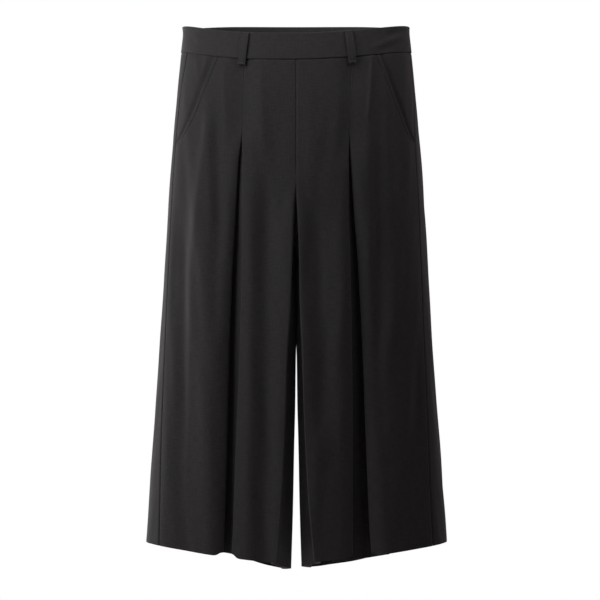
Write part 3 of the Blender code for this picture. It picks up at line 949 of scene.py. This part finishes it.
def front_row(side, level):
    """One row of a front: its inner edge, crest, pleat, and pocket edge or side seam."""
    section = Section(side, "front", level)
    points, reached = inner_strip(section)
    pleat = pleat_line(section)
    before = steps(reached, pleat[0][0], BEFORE_PLEAT_COLUMNS)[:-1]
    end = pocket_edge(section) if level > POCKET_END else section.length
    after = steps(pleat[-1][0], end, AFTER_PLEAT_COLUMNS, FRONT_POWER)
    near = ease(CORNER_TOP, HEM_LEVEL, level) if level < CORNER_TOP else 0.0
    raised = [0.0] * len(points)
    for distance in before:
        off = (pleat[0][0] - distance) / CORNER_WIDTH
        raised.append(CORNER_LIFT * near * math.exp(-off * off))
    layer = read(PLEATS, side + "_layer", level)
    for _, depth in pleat:
        raised.append(CORNER_LIFT * near * (1.0 - PLEAT_HANGS[side] * min(depth / layer, 1.0)))
    for distance in after:
        off = (distance - pleat[-1][0]) / CORNER_WIDTH
        raised.append(CORNER_LIFT * near * math.exp(-off * off))
    points += [section.place(distance) for distance in before]
    points += [section.place(*spot) for spot in pleat]
    points += [section.place(distance) for distance in after]
    return stand(side, points, level, raised)


def back_row(side, level):
    """One row of a back, from its inner edge to the side seam."""
    section = Section(side, "back", level)
    points, reached = inner_strip(section)
    rest = steps(reached, section.length, BACK_COLUMNS, BACK_POWER)
    points += [section.place(distance) for distance in rest]
    return stand(side, points, level)


def bearer_row(side, level):
    """One row of a pocket bearer, from behind the front to the side seam."""
    section = Section(side, "front", level)
    edge = pocket_edge(section)
    left_over = max(section.length - edge, BEARER_SLIP)
    start, slip = edge - BEARER_UNDERLAP, edge - BEARER_SLIP
    line = [start] + steps(start, slip, BEARER_HIDDEN_COLUMNS)
    line += steps(slip, section.length, BEARER_COLUMNS)
    free = ease(*BEARER_FREE, -BAND_DEPTH - level)
    back = BEARER_SET_BACK[side] * (0.5 + 0.5 * free)
    points = []
    for distance in line:
        eased = 1.0 - ease(0.0, min(BEARER_EASE, left_over), distance - edge)
        points.append(section.place(distance, back * eased))
    return stand(side, points, level)


def sew_under_band(sink):
    """The seam below the band, and the cloth that is tucked up inside the band above it."""
    below = np.maximum(sink.from_top() - SEAM_TUCK, 0.0)
    sink.dip(below, BAND_SEAM_DIP, BAND_SEAM_WIDTH)


def sew_panel_edges(sink, levels, curve_top, half):
    """The seams, the hem and the rims that every panel has."""
    sew_under_band(sink)
    centre = np.array([[ease(curve_top, curve_top + CENTRE_FADE, level)] for level in levels])
    sink.dip(sink.from_start(), CENTRE_DIP * centre, CENTRE_WIDTH)
    hem = sink.from_foot()
    sink.inner -= HEM_STEP / (1.0 + np.exp((hem - HEM_TURN_UP) * HEM_STEP_EDGE))
    sink.round_off(hem, HEM_RIM, half)


def make_front(side, sizes, finish):
    """Sews one front with its pleat, up to the slanted pocket edge and the side seam."""
    levels = panel_levels(HEM_LEVEL)
    sink = Sink([front_row(side, level) for level in levels])
    half = sizes.cloth / MM / 2.0
    sew_panel_edges(sink, levels, FRONT_CURVE_TOP, half)
    end = sink.from_end()
    pocket = np.array([[ease(*POCKET_FADE, level - POCKET_END)] for level in levels])
    sink.dip(end, (1.0 - pocket) * SEAM_DIP, SEAM_WIDTH)
    sink.dip(end - sizes.topstitch / MM, pocket * POCKET_DIP, POCKET_DIP_WIDTH)
    near = np.clip(1.0 - end / POCKET_RIM, 0.0, 1.0)
    sink.outer += pocket * half * POCKET_ROUNDING * near * near
    grain = FRONT_GRAIN
    piece = sew_shell("cloth_front_" + side, sink, sizes.cloth / MM, SIGN[side], finish, grain)
    hang(piece, "front_" + side, ["waistband_front"])


def make_back(side, sizes, finish):
    """Sews one back, from the centre and the inside leg to the side seam."""
    levels = panel_levels(HEM_LEVEL)
    sink = Sink([back_row(side, level) for level in levels])
    sew_panel_edges(sink, levels, BACK_CURVE_TOP, sizes.cloth / MM / 2.0)
    sink.dip(sink.from_end(), SEAM_DIP, SEAM_WIDTH)
    grain = BACK_GRAIN
    piece = sew_shell("cloth_back_" + side, sink, sizes.cloth / MM, -SIGN[side], finish, grain)
    hang(piece, "back_" + side, ["waistband_back"])


def make_bearer(side, sizes, finish):
    """Sews the cloth that shows between a slanted pocket edge and the side seam."""
    sink = Sink([bearer_row(side, level) for level in panel_levels(POCKET_END)])
    sew_under_band(sink)
    sink.dip(sink.from_end(), SEAM_DIP, SEAM_WIDTH)
    piece = sew_shell("cloth_bearer_" + side, sink, sizes.cloth / MM, SIGN[side], finish)
    hang(piece, "pocket_bearer_" + side, ["waistband_front"])


def lean(section, distance):
    """How far the band's upper edge leans out behind, where nothing presses on it."""
    if section.face == "front" or section.level < LEAN_STARTS_AT:
        return 0.0
    up = 1.0 - section.level / LEAN_STARTS_AT
    near = ease(section.length, section.length - LEAN_FADE, abs(distance))
    return BAND_LEAN * up * up * near


def band_half(side, face, level, count):
    """Half a row of the waistband, from the centre out to the side seam."""
    section = Section(side, face, level)
    line = []
    for distance in [0.0] + steps(0.0, section.length, count):
        out = BAND_PROUD + lean(section, distance)
        line.append(section.place(distance, -out, BAND_CLOTH, BAND_CREASES))
    return stand(side, line, level)


def make_band(face, sizes, finish):
    """Sews the front or the back of the waistband, folded along its upper edge."""
    middle = [BAND_MIDDLE * k / BAND_MIDDLE_ROWS for k in range(1, BAND_MIDDLE_ROWS + 1)]
    levels = [*BAND_TOP_ROWS, *(BAND_TOP_ROWS[-1] - fall for fall in middle), *BAND_FOOT_ROWS]
    rows = []
    for level in levels:
        left = band_half("left", face, level, BAND_COLUMNS)
        right = band_half("right", face, level, BAND_COLUMNS)
        rows.append(left[:0:-1] + right)
    sink = Sink(rows)
    thickness = sizes.band / MM
    sink.round_off(sink.from_top(), BAND_TOP_RIM, thickness / 2.0)
    sink.round_off(sink.from_foot(), BAND_FOOT_RIM, thickness / 2.0)
    outward = 1.0 if face == "front" else -1.0
    piece = sew_shell("cloth_band_" + face, sink, thickness, outward, finish)
    hang(piece, "waistband_" + face, [])


def loop_rows(loop, count_down, count_over, proud, width):
    """The middle of a loop's cloth, row by row from the band's top to the loop's foot."""
    foot = -BAND_DEPTH - LOOP_FOOT
    rows = []
    for k in range(count_down + 1):
        share = k / count_down
        level = foot * share
        section = Section(loop.side, loop.face, level)
        middle = section.distance(loop.top_reach + (loop.foot_reach - loop.top_reach) * share)
        arch = math.sin(math.pi * min(share / LOOP_BOW_ENDS, 1.0))
        line = []
        for j in range(count_over + 1):
            distance = middle + width * (j / count_over - 0.5)
            out = proud + LOOP_BOW * arch ** LOOP_BOW_POWER + lean(section, middle)
            reach, y = section.place(abs(distance), -out, 0.0, None)
            line.append((math.copysign(reach, distance), y))
        rows.append(stand(loop.side, line, level))
    return rows


def make_loop(loop, sizes, finish):
    """Sews one belt loop, bowed out a little between the band's top and its own foot."""
    thickness = sizes.loop / MM
    proud = BAND_PROUD + LOOP_GAP + thickness / 2.0
    sink = Sink(loop_rows(loop, *LOOP_GRID, proud, LOOP_WIDTH))
    sides = sink.from_sides()
    ends = np.minimum(sink.from_top(), sink.from_foot())
    sink.round_off(sides, LOOP_RIM, thickness / 2.0)
    sink.round_off(ends, LOOP_RIM, thickness / 2.0)
    sink.press(sink.from_foot() - LOOP_BAR, LOOP_BAR_DIP, LOOP_BAR_WIDTH)
    sink.press(sides - LOOP_INSET, LOOP_INSET_DIP, LOOP_INSET_WIDTH)
    outward = SIGN[loop.side] * (1.0 if loop.face == "front" else -1.0)
    piece = sew_shell(loop.name + "_cloth", sink, thickness, outward, finish)
    hang(piece, loop.name, ["waistband_" + loop.face])


# ---------------------------------------------------------------- finishes


class Wire:
    """A shader socket that is used as a value in Python expressions."""

    def __init__(self, tree, socket):
        self.tree, self.socket = tree, socket

    def _math(self, operation, *values):
        return add_node(self.tree, "ShaderNodeMath", {"operation": operation}, *values)

    def __add__(self, other):
        return self._math("ADD", self, other)

    def __mul__(self, other):
        return self._math("MULTIPLY", self, other)

    def __sub__(self, other):
        return self._math("SUBTRACT", self, other)

    def __rsub__(self, other):
        return self._math("SUBTRACT", other, self)

    __radd__, __rmul__ = __add__, __mul__

    def sine(self):
        """The sine of the value, as an angle in radians."""
        return self._math("SINE", self)

    def output(self, key):
        """Another output of the same node, by its place or name."""
        return Wire(self.tree, self.socket.node.outputs[key])


def add_node(tree, kind, settings=None, *values, out=0, **named):
    """Adds a node, makes its settings, then sets or links its sockets by place or name."""
    node = tree.nodes.new(kind)
    for key, value in (settings or {}).items():
        setattr(node, key, value)
    pairs = list(enumerate(values)) + list(named.items())
    for key, value in pairs:
        spot = key if isinstance(key, int) else key.replace("_", " ")
        socket = node.inputs[spot]
        if isinstance(value, Wire):
            tree.links.new(value.socket, socket)
        elif value is not None:
            socket.default_value = value
    return Wire(tree, node.outputs[out]) if node.outputs else None


def noise(tree, place, scale, detail=2.0):
    """Uneven values from nought to one over a surface."""
    return add_node(tree, "ShaderNodeTexNoise", {}, place, None, scale, detail)


def stretched(tree, place, scale):
    """A place scaled by its own amount each way."""
    return add_node(tree, "ShaderNodeVectorMath", {"operation": "MULTIPLY"}, place, scale)


def blend(tree, share, first, second):
    """A colour between two others."""
    unused = [None] * 5
    settings = {"data_type": "RGBA"}
    return add_node(tree, "ShaderNodeMix", settings, share, *unused, first, second, out=2)


def shaded(colour, strength):
    """A colour made darker or lighter, as a socket takes it."""
    return [channel * strength for channel in colour] + [1.0]


def new_finish(name):
    """A material with an empty node tree."""
    material = bpy.data.materials.new(name)
    material.use_nodes = True
    material.node_tree.nodes.clear()
    return material


def suiting(name, colour, look, press):
    """Matt wool-look suiting: a fine twill, uneven yarns and a faint nap."""
    material = new_finish(name)
    tree = material.node_tree
    threads = add_node(tree, "ShaderNodeUVMap", {"uv_map": "threads"})
    weft = add_node(tree, "ShaderNodeSeparateXYZ", {}, threads)
    warp = weft.output(1)
    pace = 2.0 * math.pi / look.twill
    rib = (weft * pace + warp * pace).sine()
    yarn = (warp * (pace * 2.0) - weft * (pace * 0.5)).sine()
    warps, wefts = [
        noise(tree, stretched(tree, threads, scale), 1.0) for scale in (WARP_SCALE, WEFT_SCALE)
    ]
    fibre = noise(tree, threads, FIBRE_SCALE)
    cloud = noise(tree, threads, CLOUD_SCALE)
    height = rib * RIB.height + yarn * YARN.height + warps * THREADS.height
    height = height + wefts * THREADS.height + fibre * FIBRE.height
    tone = rib * RIB.tone + warps * THREADS.tone + wefts * THREADS.tone
    tone = tone + cloud * CLOUD.tone + fibre * FIBRE.tone - TONE_DROP
    rough = cloud * CLOUD.rough + rib * RIB.rough + (look.roughness - ROUGH_DROP - press)
    dark, light = [shaded(colour, strength) for strength in CLOTH_TONES]
    bump = add_node(
        tree, "ShaderNodeBump", {}, Strength=look.weave, Distance=WEAVE_DEPTH, Height=height,
    )
    shader = add_node(
        tree, "ShaderNodeBsdfPrincipled", {},
        Base_Color=blend(tree, tone, dark, light),
        Roughness=rough,
        Normal=bump,
        Specular_IOR_Level=look.specular,
        Sheen_Weight=look.sheen,
        Sheen_Roughness=NAP_ROUGHNESS,
        Sheen_Tint=NAP_TINT,
    )
    add_node(tree, "ShaderNodeOutputMaterial", {}, shader)
    material.diffuse_color = (*colour, 1.0)


def thread_finish(colour):
    """Twisted sewing thread, a little smoother than the cloth."""
    tree = new_finish("sewing thread").node_tree
    place = add_node(tree, "ShaderNodeTexCoord", out="Object")
    twist = noise(tree, place, TWIST_SCALE)
    dark, light = [shaded(colour, strength) for strength in THREAD_TONES]
    shader = add_node(
        tree, "ShaderNodeBsdfPrincipled", {},
        Base_Color=blend(tree, twist, dark, light),
        Roughness=THREAD_ROUGHNESS,
        Sheen_Weight=THREAD_SHEEN,
    )
    add_node(tree, "ShaderNodeOutputMaterial", {}, shader)


def finishes():
    """The finishes of the cloth, the band and the thread, made once."""
    look = bpy.context.scene.culottes_finish
    if bpy.data.materials.get("suiting cloth") is None:
        suiting("suiting cloth", look.colour, look, 0.0)
        suiting("band cloth", look.colour, look, BAND_PRESS)
        thread_finish(look.thread)
    return [bpy.data.materials[name] for name in ("suiting cloth", "band cloth", "sewing thread")]


# ---------------------------------------------------------------- stitching


def stitch_tree():
    """A node tree that lays stitches along lines: pitch, length and thread are its inputs."""
    tree = bpy.data.node_groups.new("lay stitches", "GeometryNodeTree")
    face = tree.interface
    face.new_socket("Lines", in_out="INPUT", socket_type="NodeSocketGeometry")
    for label in ("Pitch", "Length", "Thread"):
        face.new_socket(label, in_out="INPUT", socket_type="NodeSocketFloat")
    face.new_socket("Seed", in_out="INPUT", socket_type="NodeSocketInt")
    face.new_socket("Finish", in_out="INPUT", socket_type="NodeSocketMaterial")
    face.new_socket("Stitches", in_out="OUTPUT", socket_type="NodeSocketGeometry")
    lines = add_node(tree, "NodeGroupInput")
    thread = lines.output("Thread")
    curve = add_node(tree, "GeometryNodeMeshToCurve", {}, Mesh=lines)
    pitch = lines.output("Pitch")
    settings = {"mode": "LENGTH"}
    spaced = add_node(tree, "GeometryNodeResampleCurve", settings, Curve=curve, Length=pitch)
    tangent = add_node(tree, "GeometryNodeInputTangent")
    turn = add_node(tree, "FunctionNodeAlignRotationToVector", {"axis": "Z"}, Vector=tangent)
    bead = add_node(tree, "GeometryNodeMeshUVSphere", {}, Segments=8, Rings=6, Radius=0.5)
    uneven = add_node(
        tree, "FunctionNodeRandomValue", {}, None, None, *STITCH_UNEVEN,
        Seed=lines.output("Seed"), out=1,
    )
    long = lines.output("Length") * uneven
    size = add_node(tree, "ShaderNodeCombineXYZ", {}, thread, thread, long)
    laid = add_node(
        tree, "GeometryNodeInstanceOnPoints", {},
        Points=spaced, Instance=bead, Rotation=turn, Scale=size,
    )
    real = add_node(tree, "GeometryNodeRealizeInstances", {}, laid)
    smooth = add_node(tree, "GeometryNodeSetShadeSmooth", {}, real)
    finish = lines.output("Finish")
    finished = add_node(tree, "GeometryNodeSetMaterial", {}, Geometry=smooth, Material=finish)
    add_node(tree, "NodeGroupOutput", {}, finished)
    return tree


def front_stitches(side, start, end, count, find, out):
    """A line of stitches down a front, where find gives its distance in each section."""
    line = []
    for k in range(count + 1):
        section = Section(side, "front", start + (end - start) * k / count)
        spot = section.place(find(section), -out, 0.0)
        line += stand(side, [spot], section.level)
    return (np.array(line) * MM).tolist()


def stitch_lines(sizes):
    """Every line of stitches that shows, as lists of points in metres."""
    lines = []

    def beside_pocket(section):
        """Along the pocket edge, a little in from it."""
        return pocket_edge(section) - sizes.topstitch / MM

    def beside_pleat(section):
        """Along the outer fold of the pleat."""
        fold = section.distance(read(PLEATS, section.side + "_outer", section.level))
        return fold + PLEAT_STITCH_INSET

    for side in SIGN:
        top, foot = -BAND_DEPTH - STITCH_START, POCKET_END + STITCH_STOP
        count, out = POCKET_STITCH_STEPS, -POCKET_STITCH_SUNK
        lines.append(front_stitches(side, top, foot, count, beside_pocket, out))
        top, foot = -BAND_DEPTH - LOOP_FOOT - STITCH_STOP, STITCH_END - STITCH_STOP
        count, out = PLEAT_STITCH_STEPS, STITCH_PROUD
        lines.append(front_stitches(side, top, foot, count, beside_pleat, out))
    proud = BAND_PROUD + LOOP_GAP + sizes.loop / MM - LOOP_STITCH_SUNK
    width = LOOP_WIDTH - 2.0 * LOOP_INSET
    for loop in LOOPS:
        rows = np.array(loop_rows(loop, LOOP_STITCH_STEPS, 1, proud, width)) * MM
        lines.append(rows[1:, 0].tolist())
        lines.append(rows[1:, 1].tolist())
        lines.append(rows[LOOP_BAR_ROW].tolist())
    return lines


def make_stitching(sizes, finish):
    """Lays the stitches along their lines and makes one plain mesh of them."""
    points, edges = [], []
    for line in stitch_lines(sizes):
        first = len(points)
        points += line
        edges += [(first + k, first + k + 1) for k in range(len(line) - 1)]
    mesh = bpy.data.meshes.new("stitch lines")
    mesh.from_pydata(points, edges, [])
    guide = bpy.data.objects.new("stitch lines", mesh)
    bpy.context.scene.collection.objects.link(guide)
    tree = stitch_tree()
    layer = guide.modifiers.new("stitches", "NODES")
    layer.node_group = tree
    values = {
        "Pitch": sizes.pitch,
        "Length": sizes.stitch,
        "Thread": sizes.thread,
        "Seed": STITCH_SEED,
        "Finish": finish,
    }
    for item in tree.interface.items_tree:
        if item.in_out == "INPUT" and item.name in values:
            layer[item.identifier] = values[item.name]
    guide.update_tag()
    bpy.context.view_layer.update()
    graph = bpy.context.evaluated_depsgraph_get()
    made = bpy.data.meshes.new_from_object(guide.evaluated_get(graph))
    made.name = "stitching"
    guide.modifiers.remove(layer)
    bpy.data.objects.remove(guide)
    piece = bpy.data.objects.new("stitching", made)
    bpy.context.scene.collection.objects.link(piece)
    if not made.polygons:
        raise RuntimeError("no stitch was laid")
    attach(piece, "root")


# ---------------------------------------------------------------- stage


def add_light(lamp, power):
    """A soft lamp that faces its aim."""
    name = lamp.name.replace("_", " ")
    light = bpy.data.lights.new(name, "AREA")
    light.shape = "RECTANGLE"
    light.size, light.size_y = lamp.size
    light.energy = power
    item = bpy.data.objects.new(name, light)
    item.location = lamp.place
    way = Vector(lamp.aim) - Vector(lamp.place)
    item.rotation_euler = way.to_track_quat("-Z", "Y").to_euler()
    bpy.context.scene.collection.objects.link(item)


def make_floor(level):
    """A pale round floor."""
    mesh = bpy.data.meshes.new("studio floor")
    turns = [2.0 * math.pi * k / FLOOR_CORNERS for k in range(FLOOR_CORNERS)]
    ring = [(FLOOR_RADIUS * math.cos(t), FLOOR_RADIUS * math.sin(t), level) for t in turns]
    mesh.from_pydata(ring, [], [list(range(FLOOR_CORNERS))])
    floor = bpy.data.objects.new("studio_floor", mesh)
    bpy.context.scene.collection.objects.link(floor)
    pale = new_finish("pale floor")
    tree = pale.node_tree
    place = add_node(tree, "ShaderNodeTexCoord", out="Object")
    colour = blend(tree, noise(tree, place, FLOOR_PATCHES), *FLOOR_TONES)
    shader = add_node(
        tree, "ShaderNodeBsdfPrincipled", {}, Base_Color=colour, Roughness=FLOOR_ROUGHNESS,
    )
    add_node(tree, "ShaderNodeOutputMaterial", {}, shader)
    mesh.materials.append(pale)


def make_world(ambient):
    """White behind the cloth, and a faint light from all round."""
    world = bpy.data.worlds.new("studio")
    bpy.context.scene.world = world
    world.use_nodes = True
    tree = world.node_tree
    tree.nodes.clear()
    seen = add_node(tree, "ShaderNodeBackground", {}, (1.0, 1.0, 1.0, 1.0), 1.0)
    lit = add_node(tree, "ShaderNodeBackground", {}, AMBIENT_COLOUR, ambient)
    path = add_node(tree, "ShaderNodeLightPath", out="Is Camera Ray")
    both = add_node(tree, "ShaderNodeMixShader", {}, path, lit, seen)
    add_node(tree, "ShaderNodeOutputWorld", {}, both)


def make_camera(distance, field):
    """The camera, level and square to the front."""
    camera = bpy.data.cameras.new("camera")
    camera.sensor_width = SENSOR_WIDTH
    camera.lens = camera.sensor_width * distance / field
    camera.clip_end = FARTHEST_SEEN
    eye = bpy.data.objects.new("camera", camera)
    eye.location = (CAMERA_SIDE, -distance, CAMERA_HEIGHT)
    eye.rotation_euler = (math.radians(90.0), 0.0, 0.0)
    bpy.context.scene.collection.objects.link(eye)
    bpy.context.scene.camera = eye


def make_stage(stage):
    """A pale floor, soft studio light and the camera."""
    make_floor(stage.floor)
    for lamp in LAMPS:
        add_light(lamp, getattr(stage, lamp.name))
    make_world(stage.ambient)
    bpy.context.scene.view_settings.view_transform = "Standard"
    make_camera(stage.distance, stage.field)


# ---------------------------------------------------------------- add-on


def size_value(name, text, default):
    """A property that holds a length."""
    return bpy.props.FloatProperty(
        name=name, description=text, default=default, min=0.0, precision=5,
        subtype="DISTANCE", unit="LENGTH",
    )


def amount(name, text, default, **more):
    """A property that holds a plain number."""
    return bpy.props.FloatProperty(name=name, description=text, default=default, **more)


class CulottesSizes(bpy.types.PropertyGroup):
    """Sizes of the cloth and the sewing."""

    cloth: size_value("Cloth", "Thickness of a panel", CLOTH * MM)
    band: size_value("Band", "Thickness of the folded waistband", BAND_CLOTH * MM)
    loop: size_value("Loop", "Thickness of a belt loop", LOOP_CLOTH * MM)
    topstitch: size_value("Topstitch", "Distance of the stitching from the pocket edge", 0.0062)
    pitch: size_value("Pitch", "Distance from one stitch to the next", 0.0031)
    stitch: size_value("Stitch", "Length of a stitch on the surface", 0.0025)
    thread: size_value("Thread", "Thickness of the thread", 0.0006)


class CulottesFinish(bpy.types.PropertyGroup):
    """Colour and surface of the cloth."""

    colour: bpy.props.FloatVectorProperty(
        name="Cloth colour", description="Colour of the suiting", subtype="COLOR",
        size=3, default=(0.0130, 0.0119, 0.0123), min=0.0, max=1.0,
    )
    thread: bpy.props.FloatVectorProperty(
        name="Thread colour", description="Colour of the thread", subtype="COLOR",
        size=3, default=(0.0052, 0.0047, 0.0049), min=0.0, max=1.0,
    )
    roughness: amount("Roughness", "How matt the cloth is", 0.84, min=0.0, max=1.0)
    specular: amount("Gloss", "How much the yarns shine", 0.28, min=0.0, max=1.0)
    sheen: amount("Nap", "How much the nap catches light at a slant", 0.12, min=0.0, max=1.0)
    weave: amount("Weave", "How deep the twill looks", 0.5, min=0.0, max=1.0)
    twill: size_value("Twill", "Distance from one twill rib to the next", 0.0009)


class CulottesStage(bpy.types.PropertyGroup):
    """Light, floor and camera."""

    key: amount("Key light", "Light from the left in front", 22.8, min=0.0, unit="POWER")
    left_top: amount("Left top", "Light above on the left", 5.6, min=0.0, unit="POWER")
    right_top: amount("Right top", "Light above on the right", 3.7, min=0.0, unit="POWER")
    left_rim: amount("Left rim", "Light from the left, behind", 12.0, min=0.0, unit="POWER")
    right_rim: amount("Right rim", "Light from the right", 1.3, min=0.0, unit="POWER")
    behind: amount("Back light", "Light on the back", 45.0, min=0.0, unit="POWER")
    ambient: amount("Ambient", "Light from all round", 0.08, min=0.0)
    floor: amount("Floor", "Height of the floor", -1.25, unit="LENGTH", subtype="DISTANCE")
    distance: size_value("Distance", "Distance of the camera", 6.0)
    field: size_value("Field", "Width that the camera takes in", 0.798)


class CULOTTES_OT_fronts(bpy.types.Operator):
    """Sew the two fronts with their pleats"""

    bl_idname = "culottes.fronts"
    bl_label = "Fronts"

    def execute(self, context):
        for side in SIGN:
            make_front(side, context.scene.culottes_sizes, finishes()[0])
        return {"FINISHED"}


class CULOTTES_OT_backs(bpy.types.Operator):
    """Sew the two backs"""

    bl_idname = "culottes.backs"
    bl_label = "Backs"

    def execute(self, context):
        for side in SIGN:
            make_back(side, context.scene.culottes_sizes, finishes()[0])
        return {"FINISHED"}


class CULOTTES_OT_bearers(bpy.types.Operator):
    """Sew the pocket bearers behind the slanted edges"""

    bl_idname = "culottes.bearers"
    bl_label = "Pocket bearers"

    def execute(self, context):
        for side in SIGN:
            make_bearer(side, context.scene.culottes_sizes, finishes()[0])
        return {"FINISHED"}


class CULOTTES_OT_band(bpy.types.Operator):
    """Sew the waistband"""

    bl_idname = "culottes.band"
    bl_label = "Waistband"

    def execute(self, context):
        for face in ("front", "back"):
            make_band(face, context.scene.culottes_sizes, finishes()[1])
        return {"FINISHED"}


class CULOTTES_OT_loops(bpy.types.Operator):
    """Sew on the belt loops"""

    bl_idname = "culottes.loops"
    bl_label = "Belt loops"

    def execute(self, context):
        for loop in LOOPS:
            make_loop(loop, context.scene.culottes_sizes, finishes()[1])
        return {"FINISHED"}


class CULOTTES_OT_stitching(bpy.types.Operator):
    """Lay the stitches that show"""

    bl_idname = "culottes.stitching"
    bl_label = "Stitching"

    def execute(self, context):
        make_stitching(context.scene.culottes_sizes, finishes()[2])
        return {"FINISHED"}


class CULOTTES_OT_stage(bpy.types.Operator):
    """Set up the floor, the light and the camera"""

    bl_idname = "culottes.stage"
    bl_label = "Stage"

    def execute(self, context):
        make_stage(context.scene.culottes_stage)
        return {"FINISHED"}


OPERATORS = (
    CULOTTES_OT_fronts,
    CULOTTES_OT_backs,
    CULOTTES_OT_bearers,
    CULOTTES_OT_band,
    CULOTTES_OT_loops,
    CULOTTES_OT_stitching,
    CULOTTES_OT_stage,
)
GROUPS = {
    "culottes_sizes": CulottesSizes,
    "culottes_finish": CulottesFinish,
    "culottes_stage": CulottesStage,
}


class CULOTTES_PT_panel(bpy.types.Panel):
    """The culottes' sizes, finish and operators."""

    bl_idname = "CULOTTES_PT_panel"
    bl_label = "Culottes"
    bl_space_type = "VIEW_3D"
    bl_region_type = "UI"
    bl_category = "Culottes"

    def draw(self, context):
        for group in GROUPS:
            box = self.layout.box()
            values = getattr(context.scene, group)
            for key in type(values).__annotations__:
                box.prop(values, key)
        for operator in OPERATORS:
            self.layout.operator(operator.bl_idname)


def register():
    """Registers the property groups, the operators and the panel."""
    for item in (*GROUPS.values(), *OPERATORS, CULOTTES_PT_panel):
        bpy.utils.register_class(item)
    for name, group in GROUPS.items():
        setattr(bpy.types.Scene, name, bpy.props.PointerProperty(type=group))


def unregister():
    """Takes away what register added."""
    for name in GROUPS:
        delattr(bpy.types.Scene, name)
    for item in reversed((*GROUPS.values(), *OPERATORS, CULOTTES_PT_panel)):
        bpy.utils.unregister_class(item)


def main():
    """Runs every operator in order."""
    register()
    for operator in OPERATORS:
        getattr(bpy.ops.culottes, operator.bl_idname.split(".")[1])()


if __name__ == "__main__":
    main()
